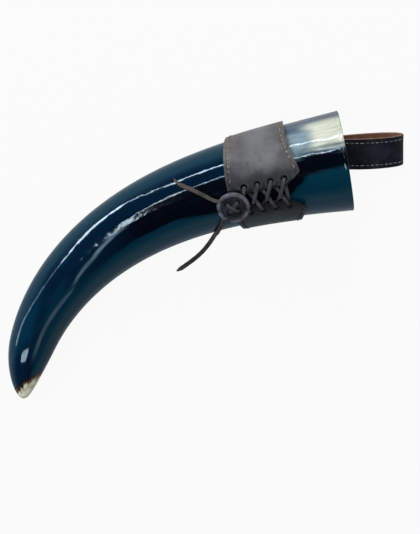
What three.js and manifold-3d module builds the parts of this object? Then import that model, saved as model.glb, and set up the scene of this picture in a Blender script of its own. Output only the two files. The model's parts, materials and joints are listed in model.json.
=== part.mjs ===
import * as THREE from 'three';
import { mergeVertices } from 'three/addons/utils/BufferGeometryUtils.js';
import Module from 'manifold-3d';

// A drinking horn in a laced leather belt holder, lying on its side on a table.
// Millimetres, +Z up. The horn is laid out first in a frame of its own: the mouth looks along +X, the horn
// curves in the XY plane toward -Y, and +Z is its front, where the holder is laced. Then the whole is laid down.

// Horn
const HORN_LENGTH = 315; // along the curved middle line, from the mouth to the tip
const HORN_TURN = 82; // degrees the middle line turns from the mouth to the tip
const MOUTH_RADIUS = 36;
const FORE_RADIUS = 29.1; // one third of the way to the tip
const AFT_RADIUS = 22.6; // two thirds of the way
const TIP_RADIUS = 11.4; // what the taper reaches at the very end, before the tip is rounded
const TIP_ROUNDING = 41; // length of the rounded end
const MOUTH_WALL = 3;
const HOLLOW_DEPTH = 195; // the rest of the horn is solid
const LIP_BEVEL = 0.8;

// Gap left between pieces that touch
const FIT = 0.3;

// Leather wrap: distances along the horn are from the mouth, arcs are from the middle of the laced gap
const CLOSURE_TILT = 31.5; // degrees the laced gap lies below the front
const WRAP_MOUTH_EDGE = 38.8;
const WRAP_TIP_EDGE = 76.5;
const WRAP_LEATHER = 1.4;
const WRAP_LINING = 0.9;
const TIP_FLARE = 10; // how much further the tip edge runs beside the lacing
const EAR_REACH = 5.4; // how far the two ears stand out toward the mouth
const EAR_ARC = 13.4;
const EAR_FOOT_ARC = 42;
const EAR_LIFT = 1.2; // how far the ears curl off the horn
const EAR_CURL = 16; // length over which they curl
const NOTCH_CUT = 5.6; // how far the corners at the gap are cut back from the mouth edge
const LACED_GAP = 9.8;
const LINING_ARC = 20;
const LINING_INSET = 1;

// Lacing
const LACE_WIDTH = 2.6;
const LACE_THICKNESS = 1.2;
const HOLE_PAIRS = 4;
const HOLE_RADIUS = 2.2;
const HOLE_PITCH = 9.6;
const FIRST_HOLE = 45.2;
const HOLE_ROW_ARC = 9.9;

// Leather disc on the lace ends
const BUTTON_RADIUS = 11.5;
const BUTTON_THICKNESS = 3;
const BUTTON_RIM = 2.8; // width of the raised rim
const BUTTON_SINK = 0.5; // how far the face lies below the rim
const BUTTON_EDGE = 0.8; // rounding of the rim
const BUTTON_PLACE = 85;
const BUTTON_ARC = -0.5;
const BUTTON_DIP = 6; // degrees the disc leans down toward the tip
const BUTTON_HOLE_RADIUS = 2;
const BUTTON_HOLE_SPREAD = 3.6; // each hole from the disc's middle lines

// Belt strap: lengths along the strap are from where it leaves the wrap
const STRAP_WIDTH = 23;
const STRAP_LEATHER = 1.2;
const STRAP_LINING = 0.9;
const STRAP_TILT = 24; // degrees the strap lies from the middle of the back toward the outside of the curve
const STRAP_SKEW = 11; // degrees the strap turns from the horn's axis
const TAB_LENGTH = 30;
const LOOP_REACH = 85.4;
const LOOP_SAG = 6; // how far the inner leg bows toward the horn
const LOOP_BELLY = 8; // how far the outer leg bows away
const LOOP_CUT = 0.4; // slit at the bend between tab and loop

// Sewing
const STITCH_MARGIN = 3;
const STITCH_PITCH = 3.6;
const GROOVE_WIDTH = 1.5;
const GROOVE_DEPTH = 0.5;
const GROOVE_SLOPE = 0.2;
const THREAD_WIDTH = 0.8;
const THREAD_HEIGHT = 0.7;
const THREAD_FIT = 0.12;

// How the whole lies on the table: degrees about X, then about Y
const LIE_ROLL = -9.7;
const LIE_PITCH = -10.9;

// Free ends of the lace, from under the disc, as they lie when the whole is laid down
const UPPER_TAIL = [
  [8.7, 33.9, 69.8], [6.0, 34.3, 69.6], [3.5, 35.4, 68.4], [1.3, 36.7, 67.1], [-0.7, 38.4, 65.9],
  [-2.8, 40.1, 65.1], [-5.0, 41.8, 64.4], [-7.2, 43.4, 63.7], [-9.4, 45.1, 62.9], [-11.6, 46.6, 62.0],
  [-13.9, 48.0, 61.0], [-16.1, 49.4, 59.8], [-18.0, 51.0, 58.5], [-19.5, 52.9, 57.0], [-20.5, 55.0, 55.3],
];
const LOWER_TAIL = [
  [10.0, 24.8, 65.9], [8.2, 22.5, 63.1], [7.8, 20.0, 59.1], [7.1, 17.2, 54.9], [5.8, 14.5, 51.1],
  [4.7, 12.3, 46.9], [4.0, 10.9, 42.5], [3.7, 10.0, 37.8], [3.5, 8.9, 33.1], [3.2, 7.6, 28.5],
  [2.8, 6.2, 23.9], [2.2, 4.7, 19.3], [1.5, 3.0, 14.8], [0.4, 1.2, 10.5], [-1.4, -1.1, 6.6],
  [-4.1, -3.7, 3.6], [-7.8, -6.3, 2.1], [-12.0, -8.6, 1.9], [-16.4, -10.7, 1.9], [-20.8, -12.7, 1.9],
  [-25.3, -14.4, 1.9],
];

// Facets
const HORN_SIDES = 36;
const HORN_STEPS = 20;
const TIP_STEPS = 6;
const HOLLOW_STEPS = 11;
const LINE_STEPS = 420;
const HOLE_SIDES = 12;
const BUTTON_SIDES = 32;
const LACE_STEPS = 3; // between two points of its route
const LOOP_STEPS = 30;
const TAB_STEPS = 3;

const wasm = await Module();
wasm.setup();

const FRONT = new THREE.Vector3(0, 0, 1);
const radians = THREE.MathUtils.degToRad;
const lerp = THREE.MathUtils.lerp;

// Mesh helpers

function signedVolume(positions, indices) {
  const a = new THREE.Vector3();
  const b = new THREE.Vector3();
  const c = new THREE.Vector3();
  let sum = 0;
  for (let i = 0; i < indices.length; i += 3) {
    a.fromArray(positions, 3 * indices[i]);
    b.fromArray(positions, 3 * indices[i + 1]);
    c.fromArray(positions, 3 * indices[i + 2]);
    sum += a.dot(b.cross(c)) / 6;
  }
  return sum;
}

function closedGeometry(positions, indices) {
  const faces = Array.from(indices);
  if (signedVolume(positions, faces) < 0) faces.reverse();
  const geometry = new THREE.BufferGeometry();
  geometry.setAttribute('position', new THREE.Float32BufferAttribute(positions, 3));
  geometry.setIndex(faces);
  geometry.computeVertexNormals();
  return geometry;
}

function welded(geometry) {
  const bare = geometry.clone();
  for (const name of Object.keys(bare.attributes)) {
    if (name !== 'position') bare.deleteAttribute(name);
  }
  const merged = mergeVertices(bare, 1e-3);
  const faces = [];
  const index = merged.index.array;
  for (let i = 0; i < index.length; i += 3) {
    const [a, b, c] = index.slice(i, i + 3);
    if (a !== b && b !== c && c !== a) faces.push(a, b, c);
  }
  return closedGeometry(merged.attributes.position.array, faces);
}

function solidOf(geometry) {
  const bare = welded(geometry);
  return new wasm.Manifold(new wasm.Mesh({
    numProp: 3,
    vertProperties: new Float32Array(bare.attributes.position.array),
    triVerts: new Uint32Array(bare.index.array),
  }));
}

function drilled(geometry, drills) {
  const cut = drills.reduce((solid, drill) => solid.subtract(solidOf(drill)), solidOf(geometry));
  const mesh = cut.getMesh();
  return welded(closedGeometry(mesh.vertProperties, mesh.triVerts));
}

function capFaces(ring) {
  const normal = new THREE.Vector3();
  ring.forEach((p, i) => normal.add(p.clone().cross(ring[(i + 1) % ring.length])));
  normal.normalize();
  const across = ring[1].clone().sub(ring[0]).normalize();
  const upward = normal.clone().cross(across);
  const flat = ring.map((p) => new THREE.Vector2(p.dot(across), p.dot(upward)));
  return THREE.ShapeUtils.triangulateShape(flat, []).map(([a, b, c]) => {
    const turn = flat[b].clone().sub(flat[a]).cross(flat[c].clone().sub(flat[a]));
    return turn > 0 ? [a, b, c] : [a, c, b];
  });
}

// A closed body through a row of rings with the same number of points
function loft(rings) {
  const count = rings[0].length;
  const positions = rings.flat().flatMap((p) => [p.x, p.y, p.z]);
  const faces = [];
  for (let i = 0; i + 1 < rings.length; i += 1) {
    for (let j = 0; j < count; j += 1) {
      const a = i * count + j;
      const b = i * count + ((j + 1) % count);
      faces.push(a, b, b + count, a, b + count, a + count);
    }
  }
  const last = (rings.length - 1) * count;
  capFaces(rings[0]).forEach(([a, b, c]) => faces.push(a, c, b));
  capFaces(rings[rings.length - 1]).forEach(([a, b, c]) => faces.push(last + a, last + b, last + c));
  return closedGeometry(positions, faces);
}

// A flat thong along a curve, with its width kept along the given direction
function thong(curve, steps, widthDirection) {
  const half = LACE_WIDTH / 2;
  const shoulder = half - LACE_THICKNESS / 2;
  const rise = LACE_THICKNESS / 2;
  const section = [
    [half, 0], [shoulder, rise], [-shoulder, rise],
    [-half, 0], [-shoulder, -rise], [shoulder, -rise],
  ];
  const rings = [];
  for (let i = 0; i <= steps; i += 1) {
    const point = curve.getPoint(i / steps);
    const tangent = curve.getTangent(i / steps);
    const side = widthDirection.clone().addScaledVector(tangent, -widthDirection.dot(tangent)).normalize();
    const normal = tangent.clone().cross(side);
    rings.push(section.map(([x, y]) => point.clone().addScaledVector(side, x).addScaledVector(normal, y)));
  }
  return loft(rings);
}

const threadProud = THREAD_FIT - GROOVE_DEPTH + THREAD_HEIGHT;

// Sewing thread along a line of stitches: it rises over each stitch and dips between two
function stitchRow(length, place) {
  const stitches = Math.round(length / STITCH_PITCH);
  const rings = [];
  for (let i = 0; i <= 2 * stitches; i += 1) {
    const raised = i % 2 === 1;
    const half = raised ? THREAD_WIDTH / 2 : THREAD_WIDTH / 3;
    const height = raised ? THREAD_HEIGHT : THREAD_HEIGHT / 2;
    const low = threadProud - THREAD_HEIGHT;
    const section = [[half, low + height / 2], [0, low + height], [-half, low + height / 2], [0, low]];
    rings.push(section.map(([across, up]) => place(i / (2 * stitches), across, up)));
  }
  return loft(rings);
}

// Shape of the horn

function taper(distance) {
  const girths = [MOUTH_RADIUS, FORE_RADIUS, AFT_RADIUS, TIP_RADIUS];
  const place = 3 * distance / HORN_LENGTH;
  return girths.reduce((sum, girth, i) => {
    const others = girths.map((_, j) => j).filter((j) => j !== i);
    return sum + others.reduce((weight, j) => weight * (place - j) / (i - j), girth);
  }, 0);
}

function heading(distance) {
  const share = Math.max(distance, 0) / HORN_LENGTH;
  return radians(HORN_TURN) * share * share;
}

function tipward(distance) {
  const turn = heading(distance);
  return new THREE.Vector3(-Math.cos(turn), -Math.sin(turn), 0);
}

function outward(distance) {
  const turn = heading(distance);
  return new THREE.Vector3(-Math.sin(turn), Math.cos(turn), 0);
}

const lineStep = HORN_LENGTH / LINE_STEPS;
const middleLine = [new THREE.Vector3()];
for (let i = 0; i < LINE_STEPS; i += 1) {
  middleLine.push(middleLine[i].clone().addScaledVector(tipward((i + 0.5) * lineStep), lineStep));
}

function middle(distance) {
  if (distance <= 0) return tipward(0).multiplyScalar(distance);
  const whole = Math.min(Math.floor(distance / lineStep), LINE_STEPS - 1);
  return middleLine[whole].clone().lerp(middleLine[whole + 1], distance / lineStep - whole);
}

// A point round the horn: the angle is in degrees from the front toward the outside of the curve
function around(distance, angle, radius) {
  return middle(distance)
    .addScaledVector(FRONT, radius * Math.cos(radians(angle)))
    .addScaledVector(outward(distance), radius * Math.sin(radians(angle)));
}

function radially(distance, angle) {
  return around(distance, angle, 1).sub(middle(distance));
}

function hornGeometry() {
  const outline = [];
  for (let i = 0; i < TIP_STEPS; i += 1) {
    const turn = radians(90 * i / TIP_STEPS);
    const distance = HORN_LENGTH - TIP_ROUNDING * (1 - Math.cos(turn));
    outline.push(new THREE.Vector2(taper(distance) * Math.sin(turn), distance));
  }
  for (let i = 0; i <= HORN_STEPS; i += 1) {
    const distance = lerp(HORN_LENGTH - TIP_ROUNDING, LIP_BEVEL, i / HORN_STEPS);
    outline.push(new THREE.Vector2(taper(distance), distance));
  }
  outline.push(new THREE.Vector2(MOUTH_RADIUS - LIP_BEVEL, 0));
  outline.push(new THREE.Vector2(MOUTH_RADIUS - MOUTH_WALL + LIP_BEVEL, 0));
  for (let i = 0; i <= HOLLOW_STEPS; i += 1) {
    const left = 1 - i / HOLLOW_STEPS;
    const distance = lerp(HOLLOW_DEPTH, LIP_BEVEL, left * left);
    const closing = Math.sqrt(1 - ((distance - LIP_BEVEL) / (HOLLOW_DEPTH - LIP_BEVEL)) ** 3);
    outline.push(new THREE.Vector2((taper(distance) - MOUTH_WALL) * closing, distance));
  }
  const geometry = new THREE.LatheGeometry(outline, HORN_SIDES);
  const position = geometry.attributes.position;
  for (let i = 0; i < position.count; i += 1) {
    const distance = position.getY(i);
    const point = middle(distance)
      .addScaledVector(outward(distance), position.getX(i))
      .addScaledVector(FRONT, position.getZ(i));
    position.setXYZ(i, point.x, point.y, point.z);
  }
  return welded(geometry);
}

// Shape of the wrap: angles are degrees from the middle of the laced gap, the same to both sides

const flapBase = FIT + LACE_THICKNESS + FIT;
const sleeveBase = FIT + WRAP_LINING + FIT;
const wrapGirth = taper((WRAP_MOUTH_EDGE + WRAP_TIP_EDGE) / 2) + sleeveBase + WRAP_LEATHER;

function arcAngle(arc) {
  return THREE.MathUtils.radToDeg(arc / wrapGirth);
}

const gapAngle = arcAngle(LACED_GAP / 2);
const earAngle = arcAngle(EAR_ARC);
const earFootAngle = arcAngle(EAR_FOOT_ARC);
const liningAngle = arcAngle(LINING_ARC);
const flapAngle = arcAngle(HOLE_ROW_ARC + 2 * HOLE_RADIUS);

function folded(angle) {
  return angle > 180 ? 360 - angle : angle;
}

function mouthEdge(angle) {
  const turn = folded(angle);
  if (turn < earAngle) {
    const share = (turn - gapAngle) / (earAngle - gapAngle);
    return lerp(WRAP_MOUTH_EDGE + NOTCH_CUT, WRAP_MOUTH_EDGE - EAR_REACH, share);
  }
  const share = THREE.MathUtils.smoothstep(turn, earAngle - (earFootAngle - earAngle), earFootAngle);
  return WRAP_MOUTH_EDGE - EAR_REACH * 2 * (1 - share);
}

function tipEdge(angle) {
  const toward = (1 + Math.cos(radians(angle))) / 2;
  return WRAP_TIP_EDGE + TIP_FLARE * toward ** 1.5;
}

function wrapBase(angle, distance) {
  const turn = folded(angle);
  const lined = THREE.MathUtils.smoothstep(turn, flapAngle, Math.max(liningAngle, flapAngle + 1));
  const fromEar = Math.abs(turn - earAngle) / (earFootAngle - earAngle);
  const curlAlong = Math.max(0, 1 - (distance - mouthEdge(angle)) / EAR_CURL);
  const curl = curlAlong * Math.max(0, 1 - 2 * fromEar);
  return lerp(Math.max(flapBase, sleeveBase), sleeveBase, lined) + EAR_LIFT * curl * curl;
}

function onWrap(distance, angle, height) {
  const radius = taper(distance) + wrapBase(angle, distance) + height;
  return around(distance, angle - CLOSURE_TILT, radius);
}

function wrapStations(from) {
  const half = [];
  for (let angle = from; angle < earFootAngle - 2; angle += (earAngle - gapAngle) / 4) half.push(angle);
  const coarse = Math.round((180 - earFootAngle) / 8);
  for (let i = 0; i <= coarse; i += 1) half.push(lerp(earFootAngle, 180, i / coarse));
  return [...half, ...half.slice(0, -1).reverse().map((angle) => 360 - angle)];
}

const WRAP_SHARES = [0.25, 0.5, 0.75];

function groove(share, thickness) {
  const inward = share === 0 ? 1 : -1;
  const reach = GROOVE_WIDTH / 2;
  const points = [
    [share, inward * (STITCH_MARGIN - reach), thickness],
    [share, inward * (STITCH_MARGIN - reach + GROOVE_SLOPE), thickness - GROOVE_DEPTH],
    [share, inward * (STITCH_MARGIN + reach - GROOVE_SLOPE), thickness - GROOVE_DEPTH],
    [share, inward * (STITCH_MARGIN + reach), thickness],
  ];
  return share === 0 ? points : points.reverse();
}

function sheetPoint(angle, [share, inset, height]) {
  const distance = lerp(mouthEdge(angle), tipEdge(angle), share) + inset;
  return onWrap(distance, angle, height);
}

function wrapLeatherGeometry() {
  const section = [
    [0, 0, WRAP_LEATHER],
    ...groove(0, WRAP_LEATHER),
    ...WRAP_SHARES.map((share) => [share, 0, WRAP_LEATHER]),
    ...groove(1, WRAP_LEATHER),
    [1, 0, WRAP_LEATHER],
    [1, 0, 0],
    ...WRAP_SHARES.toReversed().map((share) => [share, 0, 0]),
    [0, 0, 0],
  ];
  const sheet = loft(wrapStations(gapAngle).map((angle) => section.map((p) => sheetPoint(angle, p))));
  const drills = [];
  for (let pair = 0; pair < HOLE_PAIRS; pair += 1) {
    for (const side of [1, -1]) {
      const distance = FIRST_HOLE + pair * HOLE_PITCH;
      const turn = arcAngle(HOLE_ROW_ARC + LACE_THICKNESS / 4);
      const angle = side > 0 ? turn : 360 - turn;
      const drill = new THREE.CylinderGeometry(HOLE_RADIUS, HOLE_RADIUS, 4 * WRAP_LEATHER, HOLE_SIDES);
      const aim = radially(distance, angle - CLOSURE_TILT);
      drill.applyQuaternion(new THREE.Quaternion().setFromUnitVectors(new THREE.Vector3(0, 1, 0), aim));
      const centre = onWrap(distance, angle, WRAP_LEATHER / 2);
      drills.push(drill.translate(centre.x, centre.y, centre.z));
    }
  }
  return drilled(sheet, drills);
}

function wrapLiningGeometry() {
  const section = [
    [0, LINING_INSET, WRAP_LINING],
    ...WRAP_SHARES.map((share) => [share, 0, WRAP_LINING]),
    [1, -LINING_INSET, WRAP_LINING],
    [1, -LINING_INSET, 0],
    ...WRAP_SHARES.toReversed().map((share) => [share, 0, 0]),
    [0, LINING_INSET, 0],
  ];
  const liningPoint = (angle, [share, inset, height]) => {
    const distance = lerp(mouthEdge(angle), tipEdge(angle), share) + inset;
    return around(distance, angle - CLOSURE_TILT, taper(distance) + FIT + height);
  };
  return loft(wrapStations(liningAngle).map((angle) => section.map((p) => liningPoint(angle, p))));
}

function wrapStitching(share) {
  const inset = share === 0 ? STITCH_MARGIN : -STITCH_MARGIN;
  const first = earAngle + arcAngle(STITCH_PITCH / 2);
  const length = radians(360 - 2 * first) * wrapGirth;
  return stitchRow(length, (along, across, up) => {
    const angle = lerp(first, 360 - first, along);
    return sheetPoint(angle, [share, inset + across, WRAP_LEATHER + up]);
  });
}

// Lacing: it starts as a bar behind the first pair of holes, comes out of every hole and crosses over the gap

const laceUnder = FIT + LACE_THICKNESS / 2;
const laceOver = flapBase + WRAP_LEATHER + FIT + LACE_THICKNESS / 2;
const laceMiddle = (laceUnder + laceOver) / 2;

function lacePoint(distance, arc, height) {
  return around(distance, arcAngle(arc) - CLOSURE_TILT, taper(distance) + height);
}

// Places of the button: its own frame has x up across the lacing, y toward the tip and z off the horn
const buttonAngle = arcAngle(BUTTON_ARC) - CLOSURE_TILT;
const buttonBase = laceOver + LACE_THICKNESS / 2 + FIT + Math.sin(radians(BUTTON_DIP)) * BUTTON_RADIUS / 2;
const buttonFrame = new THREE.Matrix4();
{
  const up = radially(BUTTON_PLACE, buttonAngle);
  const along = tipward(BUTTON_PLACE);
  const across = along.clone().cross(up);
  buttonFrame.makeBasis(across, along, up);
  buttonFrame.multiply(new THREE.Matrix4().makeRotationX(-radians(BUTTON_DIP)));
  buttonFrame.setPosition(around(BUTTON_PLACE, buttonAngle, taper(BUTTON_PLACE) + buttonBase));
}

function onButton(across, along, height) {
  return new THREE.Vector3(across, along, height).applyMatrix4(buttonFrame);
}

const laceBelow = -2 * FIT - LACE_THICKNESS / 2;
const laceMeet = BUTTON_HOLE_SPREAD + LACE_WIDTH;

function halfLacing(firstSide) {
  const bend = LACE_THICKNESS;
  const edge = LACED_GAP / 2;
  const points = [];
  let side = firstSide;
  for (let pair = 0; pair < HOLE_PAIRS; pair += 1) {
    const hole = FIRST_HOLE + pair * HOLE_PITCH;
    const slant = pair === 0 ? 0 : HOLE_PITCH * bend / (2 * HOLE_ROW_ARC);
    points.push(lacePoint(hole - 2 * slant, side * (HOLE_ROW_ARC - 2 * bend), laceUnder));
    points.push(lacePoint(hole - slant, side * (HOLE_ROW_ARC - bend), laceUnder));
    points.push(lacePoint(hole, side * (HOLE_ROW_ARC + LACE_THICKNESS / 4), laceMiddle));
    if (pair + 1 < HOLE_PAIRS) {
      const across = (arc) => hole + HOLE_PITCH * (HOLE_ROW_ARC - side * arc) / (2 * HOLE_ROW_ARC);
      const strand = (arc, height) => points.push(lacePoint(across(side * arc), side * arc, height));
      const high = side > 0;
      strand(HOLE_ROW_ARC - bend, laceOver);
      strand(edge + bend / 4, laceOver);
      strand(edge - bend / 2, high ? laceOver : laceOver - FIT);
      strand(edge / 2, high ? laceOver : laceMiddle);
      strand(0, high ? laceOver : laceUnder + 2 * FIT);
      strand(-edge / 2, high ? laceOver - FIT : laceUnder + FIT);
      strand(-edge + bend / 4, laceUnder);
    } else {
      const beside = (steps) => BUTTON_HOLE_SPREAD + steps * bend;
      points.push(lacePoint(hole + bend / 2, side * (HOLE_ROW_ARC - bend), laceOver));
      points.push(onButton(side * beside(2), -laceMeet - 2 * bend, laceBelow));
      points.push(onButton(side * beside(1), -laceMeet, laceBelow));
    }
    side = -side;
  }
  return points;
}

function lacingGeometry() {
  const bar = lacePoint(FIRST_HOLE, 0, laceUnder);
  const route = [...halfLacing(-1).reverse(), bar, ...halfLacing(1)];
  const curve = new THREE.CatmullRomCurve3(route, false, 'centripetal');
  return thong(curve, LACE_STEPS * (route.length - 1), tipward(FIRST_HOLE));
}

function buttonGeometry() {
  const face = BUTTON_THICKNESS - BUTTON_SINK;
  const outline = [
    [0, 0],
    [BUTTON_RADIUS - BUTTON_EDGE, 0],
    [BUTTON_RADIUS, BUTTON_EDGE],
    [BUTTON_RADIUS, BUTTON_THICKNESS - BUTTON_EDGE],
    [BUTTON_RADIUS - BUTTON_EDGE, BUTTON_THICKNESS],
    [BUTTON_RADIUS - BUTTON_RIM, BUTTON_THICKNESS],
    [BUTTON_RADIUS - BUTTON_RIM - BUTTON_SINK, face],
    [0, face],
  ].map(([x, y]) => new THREE.Vector2(x, y));
  const disc = new THREE.LatheGeometry(outline, BUTTON_SIDES).rotateX(Math.PI / 2);
  const depth = 4 * BUTTON_THICKNESS;
  const drills = [];
  for (const x of [-BUTTON_HOLE_SPREAD, BUTTON_HOLE_SPREAD]) {
    for (const y of [-BUTTON_HOLE_SPREAD, BUTTON_HOLE_SPREAD]) {
      const drill = new THREE.CylinderGeometry(BUTTON_HOLE_RADIUS, BUTTON_HOLE_RADIUS, depth, HOLE_SIDES);
      drills.push(drill.rotateX(Math.PI / 2).translate(x, y, 0));
    }
  }
  return drilled(disc, drills).applyMatrix4(buttonFrame);
}

// One stretch of lace up through a hole of the disc, slantwise over its face and down the opposite hole
function buttonLaceGeometry(side, lift) {
  const hole = BUTTON_HOLE_SPREAD;
  const face = BUTTON_THICKNESS - BUTTON_SINK + FIT + LACE_THICKNESS / 2;
  const inside = hole - LACE_THICKNESS;
  const turn = hole + LACE_THICKNESS / 2;
  const end = hole + LACE_THICKNESS;
  const route = [
    [side * end, 2 * FIT - laceMeet, laceBelow],
    [side * turn, -turn, laceBelow],
    [side * hole, -hole, BUTTON_THICKNESS * 0.3],
    [side * hole, -hole, BUTTON_THICKNESS * 0.7],
    [side * inside, -inside, face + lift / 2],
    [0, 0, face + lift],
    [-side * inside, inside, face + lift / 2],
    [-side * hole, hole, BUTTON_THICKNESS * 0.7],
    [-side * hole, hole, BUTTON_THICKNESS * 0.3],
    [-side * turn, turn, laceBelow],
    [-side * end, laceMeet, laceBelow],
  ].map(([x, y, z]) => onButton(x, y, z));
  const curve = new THREE.CatmullRomCurve3(route, false, 'centripetal');
  const width = onButton(side, 1, 0).sub(onButton(0, 0, 0)).normalize();
  return thong(curve, LACE_STEPS * (route.length - 1), width);
}

// A free end of the lace: its flat side is turned to lie on what is under it
function tailGeometry(points, turn) {
  const half = LACE_WIDTH / 2;
  const rise = LACE_THICKNESS / 2;
  const shoulder = half - rise;
  const section = [
    [rise, shoulder], [rise / 2, half], [-rise / 2, half], [-rise, shoulder],
    [-rise, -shoulder], [-rise / 2, -half], [rise / 2, -half], [rise, -shoulder],
  ].map(([x, y]) => new THREE.Vector2(x, y).rotateAround(new THREE.Vector2(), radians(turn)));
  const route = new THREE.CatmullRomCurve3(points.map(([x, y, z]) => new THREE.Vector3(x, y, z)));
  return welded(new THREE.ExtrudeGeometry(new THREE.Shape(section), {
    steps: points.length - 1,
    bevelEnabled: false,
    extrudePath: route,
  }));
}

// Belt strap: its own frame has x along the strap toward the mouth, y across it and z off the horn

const strapAngle = 180 - STRAP_TILT;
const strapFrame = new THREE.Matrix4();
{
  const seatHeight = sleeveBase + WRAP_LEATHER + threadProud + FIT;
  const seat = (distance) => around(distance, strapAngle, taper(distance) + seatHeight);
  const along = seat(WRAP_MOUTH_EDGE).sub(seat(WRAP_TIP_EDGE)).normalize();
  const flat = radially(WRAP_MOUTH_EDGE, strapAngle);
  const across = flat.clone().cross(along).normalize();
  const off = along.clone().cross(across);
  strapFrame.makeBasis(along, across, off);
  strapFrame.multiply(new THREE.Matrix4().makeRotationZ(radians(STRAP_SKEW)));
  strapFrame.setPosition(seat(WRAP_MOUTH_EDGE));
}

// The line between leather and lining, from the inner tab round the loop to the outer tab
const plySeam = STRAP_LEATHER + FIT / 2;
const strapStack = 2 * (STRAP_LEATHER + FIT + STRAP_LINING) + FIT;
const innerSeam = plySeam;
const outerSeam = strapStack - plySeam;
const loopSeam = new THREE.CatmullRomCurve3([
  [LOOP_CUT / 2, innerSeam],
  [LOOP_REACH * 0.2, innerSeam - LOOP_SAG * 0.14],
  [LOOP_REACH * 0.45, innerSeam - LOOP_SAG * 0.46],
  [LOOP_REACH * 0.7, innerSeam - LOOP_SAG],
  [LOOP_REACH * 0.88, innerSeam - LOOP_SAG * 0.7],
  [LOOP_REACH * 0.97, innerSeam - LOOP_SAG * 0.1],
  [LOOP_REACH, lerp(innerSeam, outerSeam + LOOP_BELLY, 0.4)],
  [LOOP_REACH * 0.97, lerp(innerSeam, outerSeam + LOOP_BELLY, 0.75)],
  [LOOP_REACH * 0.88, outerSeam + LOOP_BELLY * 0.95],
  [LOOP_REACH * 0.7, outerSeam + LOOP_BELLY],
  [LOOP_REACH * 0.45, outerSeam + LOOP_BELLY * 0.7],
  [LOOP_REACH * 0.2, outerSeam + LOOP_BELLY * 0.25],
  [LOOP_CUT / 2, outerSeam],
].map(([x, z]) => new THREE.Vector3(x, 0, z)), false, 'centripetal');

const innerTabSeam = new THREE.LineCurve3(
  new THREE.Vector3(-TAB_LENGTH, 0, innerSeam),
  new THREE.Vector3(-LOOP_CUT / 2, 0, innerSeam),
);
const outerTabSeam = new THREE.LineCurve3(
  new THREE.Vector3(-LOOP_CUT / 2, 0, outerSeam),
  new THREE.Vector3(-TAB_LENGTH, 0, outerSeam),
);

// A point beside a seam line: across the strap, and off the seam toward the outside of the loop
function besideSeam(seam, share, across, off) {
  const tangent = seam.getTangentAt(share);
  const outside = new THREE.Vector3(tangent.z, 0, -tangent.x);
  const point = seam.getPointAt(share).addScaledVector(outside, off);
  point.y = across;
  return point.applyMatrix4(strapFrame);
}

function strapGeometry(seam, steps, section) {
  const rings = [];
  for (let i = 0; i <= steps; i += 1) {
    rings.push(section.map(([across, off]) => besideSeam(seam, i / steps, across, off)));
  }
  return loft(rings);
}

const strapEdge = STRAP_WIDTH / 2;
const strapTop = FIT / 2 + STRAP_LEATHER;
const strapGrooves = [0, 1].flatMap((share) => groove(share, strapTop).map(([, inset, height]) => (
  [(share === 0 ? -strapEdge : strapEdge) + inset, height]
)));
const STRAP_SECTION = [[-strapEdge, strapTop], ...strapGrooves, [strapEdge, strapTop],
  [strapEdge, FIT / 2], [-strapEdge, FIT / 2]];
const LINING_SECTION = [[-strapEdge, -FIT / 2], [strapEdge, -FIT / 2],
  [strapEdge, -FIT / 2 - STRAP_LINING], [-strapEdge, -FIT / 2 - STRAP_LINING]];

function strapStitching(seam, side) {
  const margin = STITCH_PITCH / 2 / seam.getLength();
  return stitchRow(seam.getLength() - STITCH_PITCH, (along, across, up) => (
    besideSeam(seam, lerp(margin, 1 - margin, along), side * (strapEdge - STITCH_MARGIN) + across, strapTop + up)
  ));
}

// Assembly

const BLACK_HORN = { color: 0x101820, roughness: 0.2, metalness: 0 };
const BROWN_LEATHER = { color: 0x5a4c48, roughness: 0.6, metalness: 0 };
const TAN_LINING = { color: 0x7a4a30, roughness: 0.8, metalness: 0 };
const LACE_LEATHER = { color: 0x6e5a4c, roughness: 0.65, metalness: 0 };
const DARK_STRAP = { color: 0x1c2030, roughness: 0.55, metalness: 0 };
const TAN_THREAD = { color: 0xb08a58, roughness: 0.8, metalness: 0 };
const PALE_THREAD = { color: 0xb8b4ac, roughness: 0.8, metalness: 0 };

const drinkingHorn = new THREE.Group();
const laid = new THREE.Group();
drinkingHorn.add(laid);

function addPiece(name, geometry, finish, parent = laid) {
  const mesh = new THREE.Mesh(geometry, new THREE.MeshStandardMaterial(finish));
  mesh.name = name;
  parent.add(mesh);
}

addPiece('horn', hornGeometry(), BLACK_HORN);
addPiece('wrap_leather', wrapLeatherGeometry(), BROWN_LEATHER);
addPiece('wrap_lining', wrapLiningGeometry(), TAN_LINING);
addPiece('wrap_mouth_stitching', wrapStitching(0), TAN_THREAD);
addPiece('wrap_tip_stitching', wrapStitching(1), TAN_THREAD);
addPiece('lacing', lacingGeometry(), LACE_LEATHER);
addPiece('lace_button', buttonGeometry(), DARK_STRAP);
addPiece('button_lace_under', buttonLaceGeometry(1, 0), LACE_LEATHER);
addPiece('button_lace_over', buttonLaceGeometry(-1, LACE_THICKNESS + FIT), LACE_LEATHER);
addPiece('strap_inner_tab', strapGeometry(innerTabSeam, TAB_STEPS, STRAP_SECTION), DARK_STRAP);
addPiece('strap_inner_tab_lining', strapGeometry(innerTabSeam, TAB_STEPS, LINING_SECTION), TAN_LINING);
addPiece('strap_outer_tab', strapGeometry(outerTabSeam, TAB_STEPS, STRAP_SECTION), DARK_STRAP);
addPiece('strap_outer_tab_lining', strapGeometry(outerTabSeam, TAB_STEPS, LINING_SECTION), TAN_LINING);
addPiece('belt_loop', strapGeometry(loopSeam, LOOP_STEPS, STRAP_SECTION), DARK_STRAP);
addPiece('belt_loop_lining', strapGeometry(loopSeam, LOOP_STEPS, LINING_SECTION), TAN_LINING);
addPiece('loop_upper_stitching', strapStitching(loopSeam, 1), PALE_THREAD);
addPiece('loop_lower_stitching', strapStitching(loopSeam, -1), PALE_THREAD);
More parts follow.
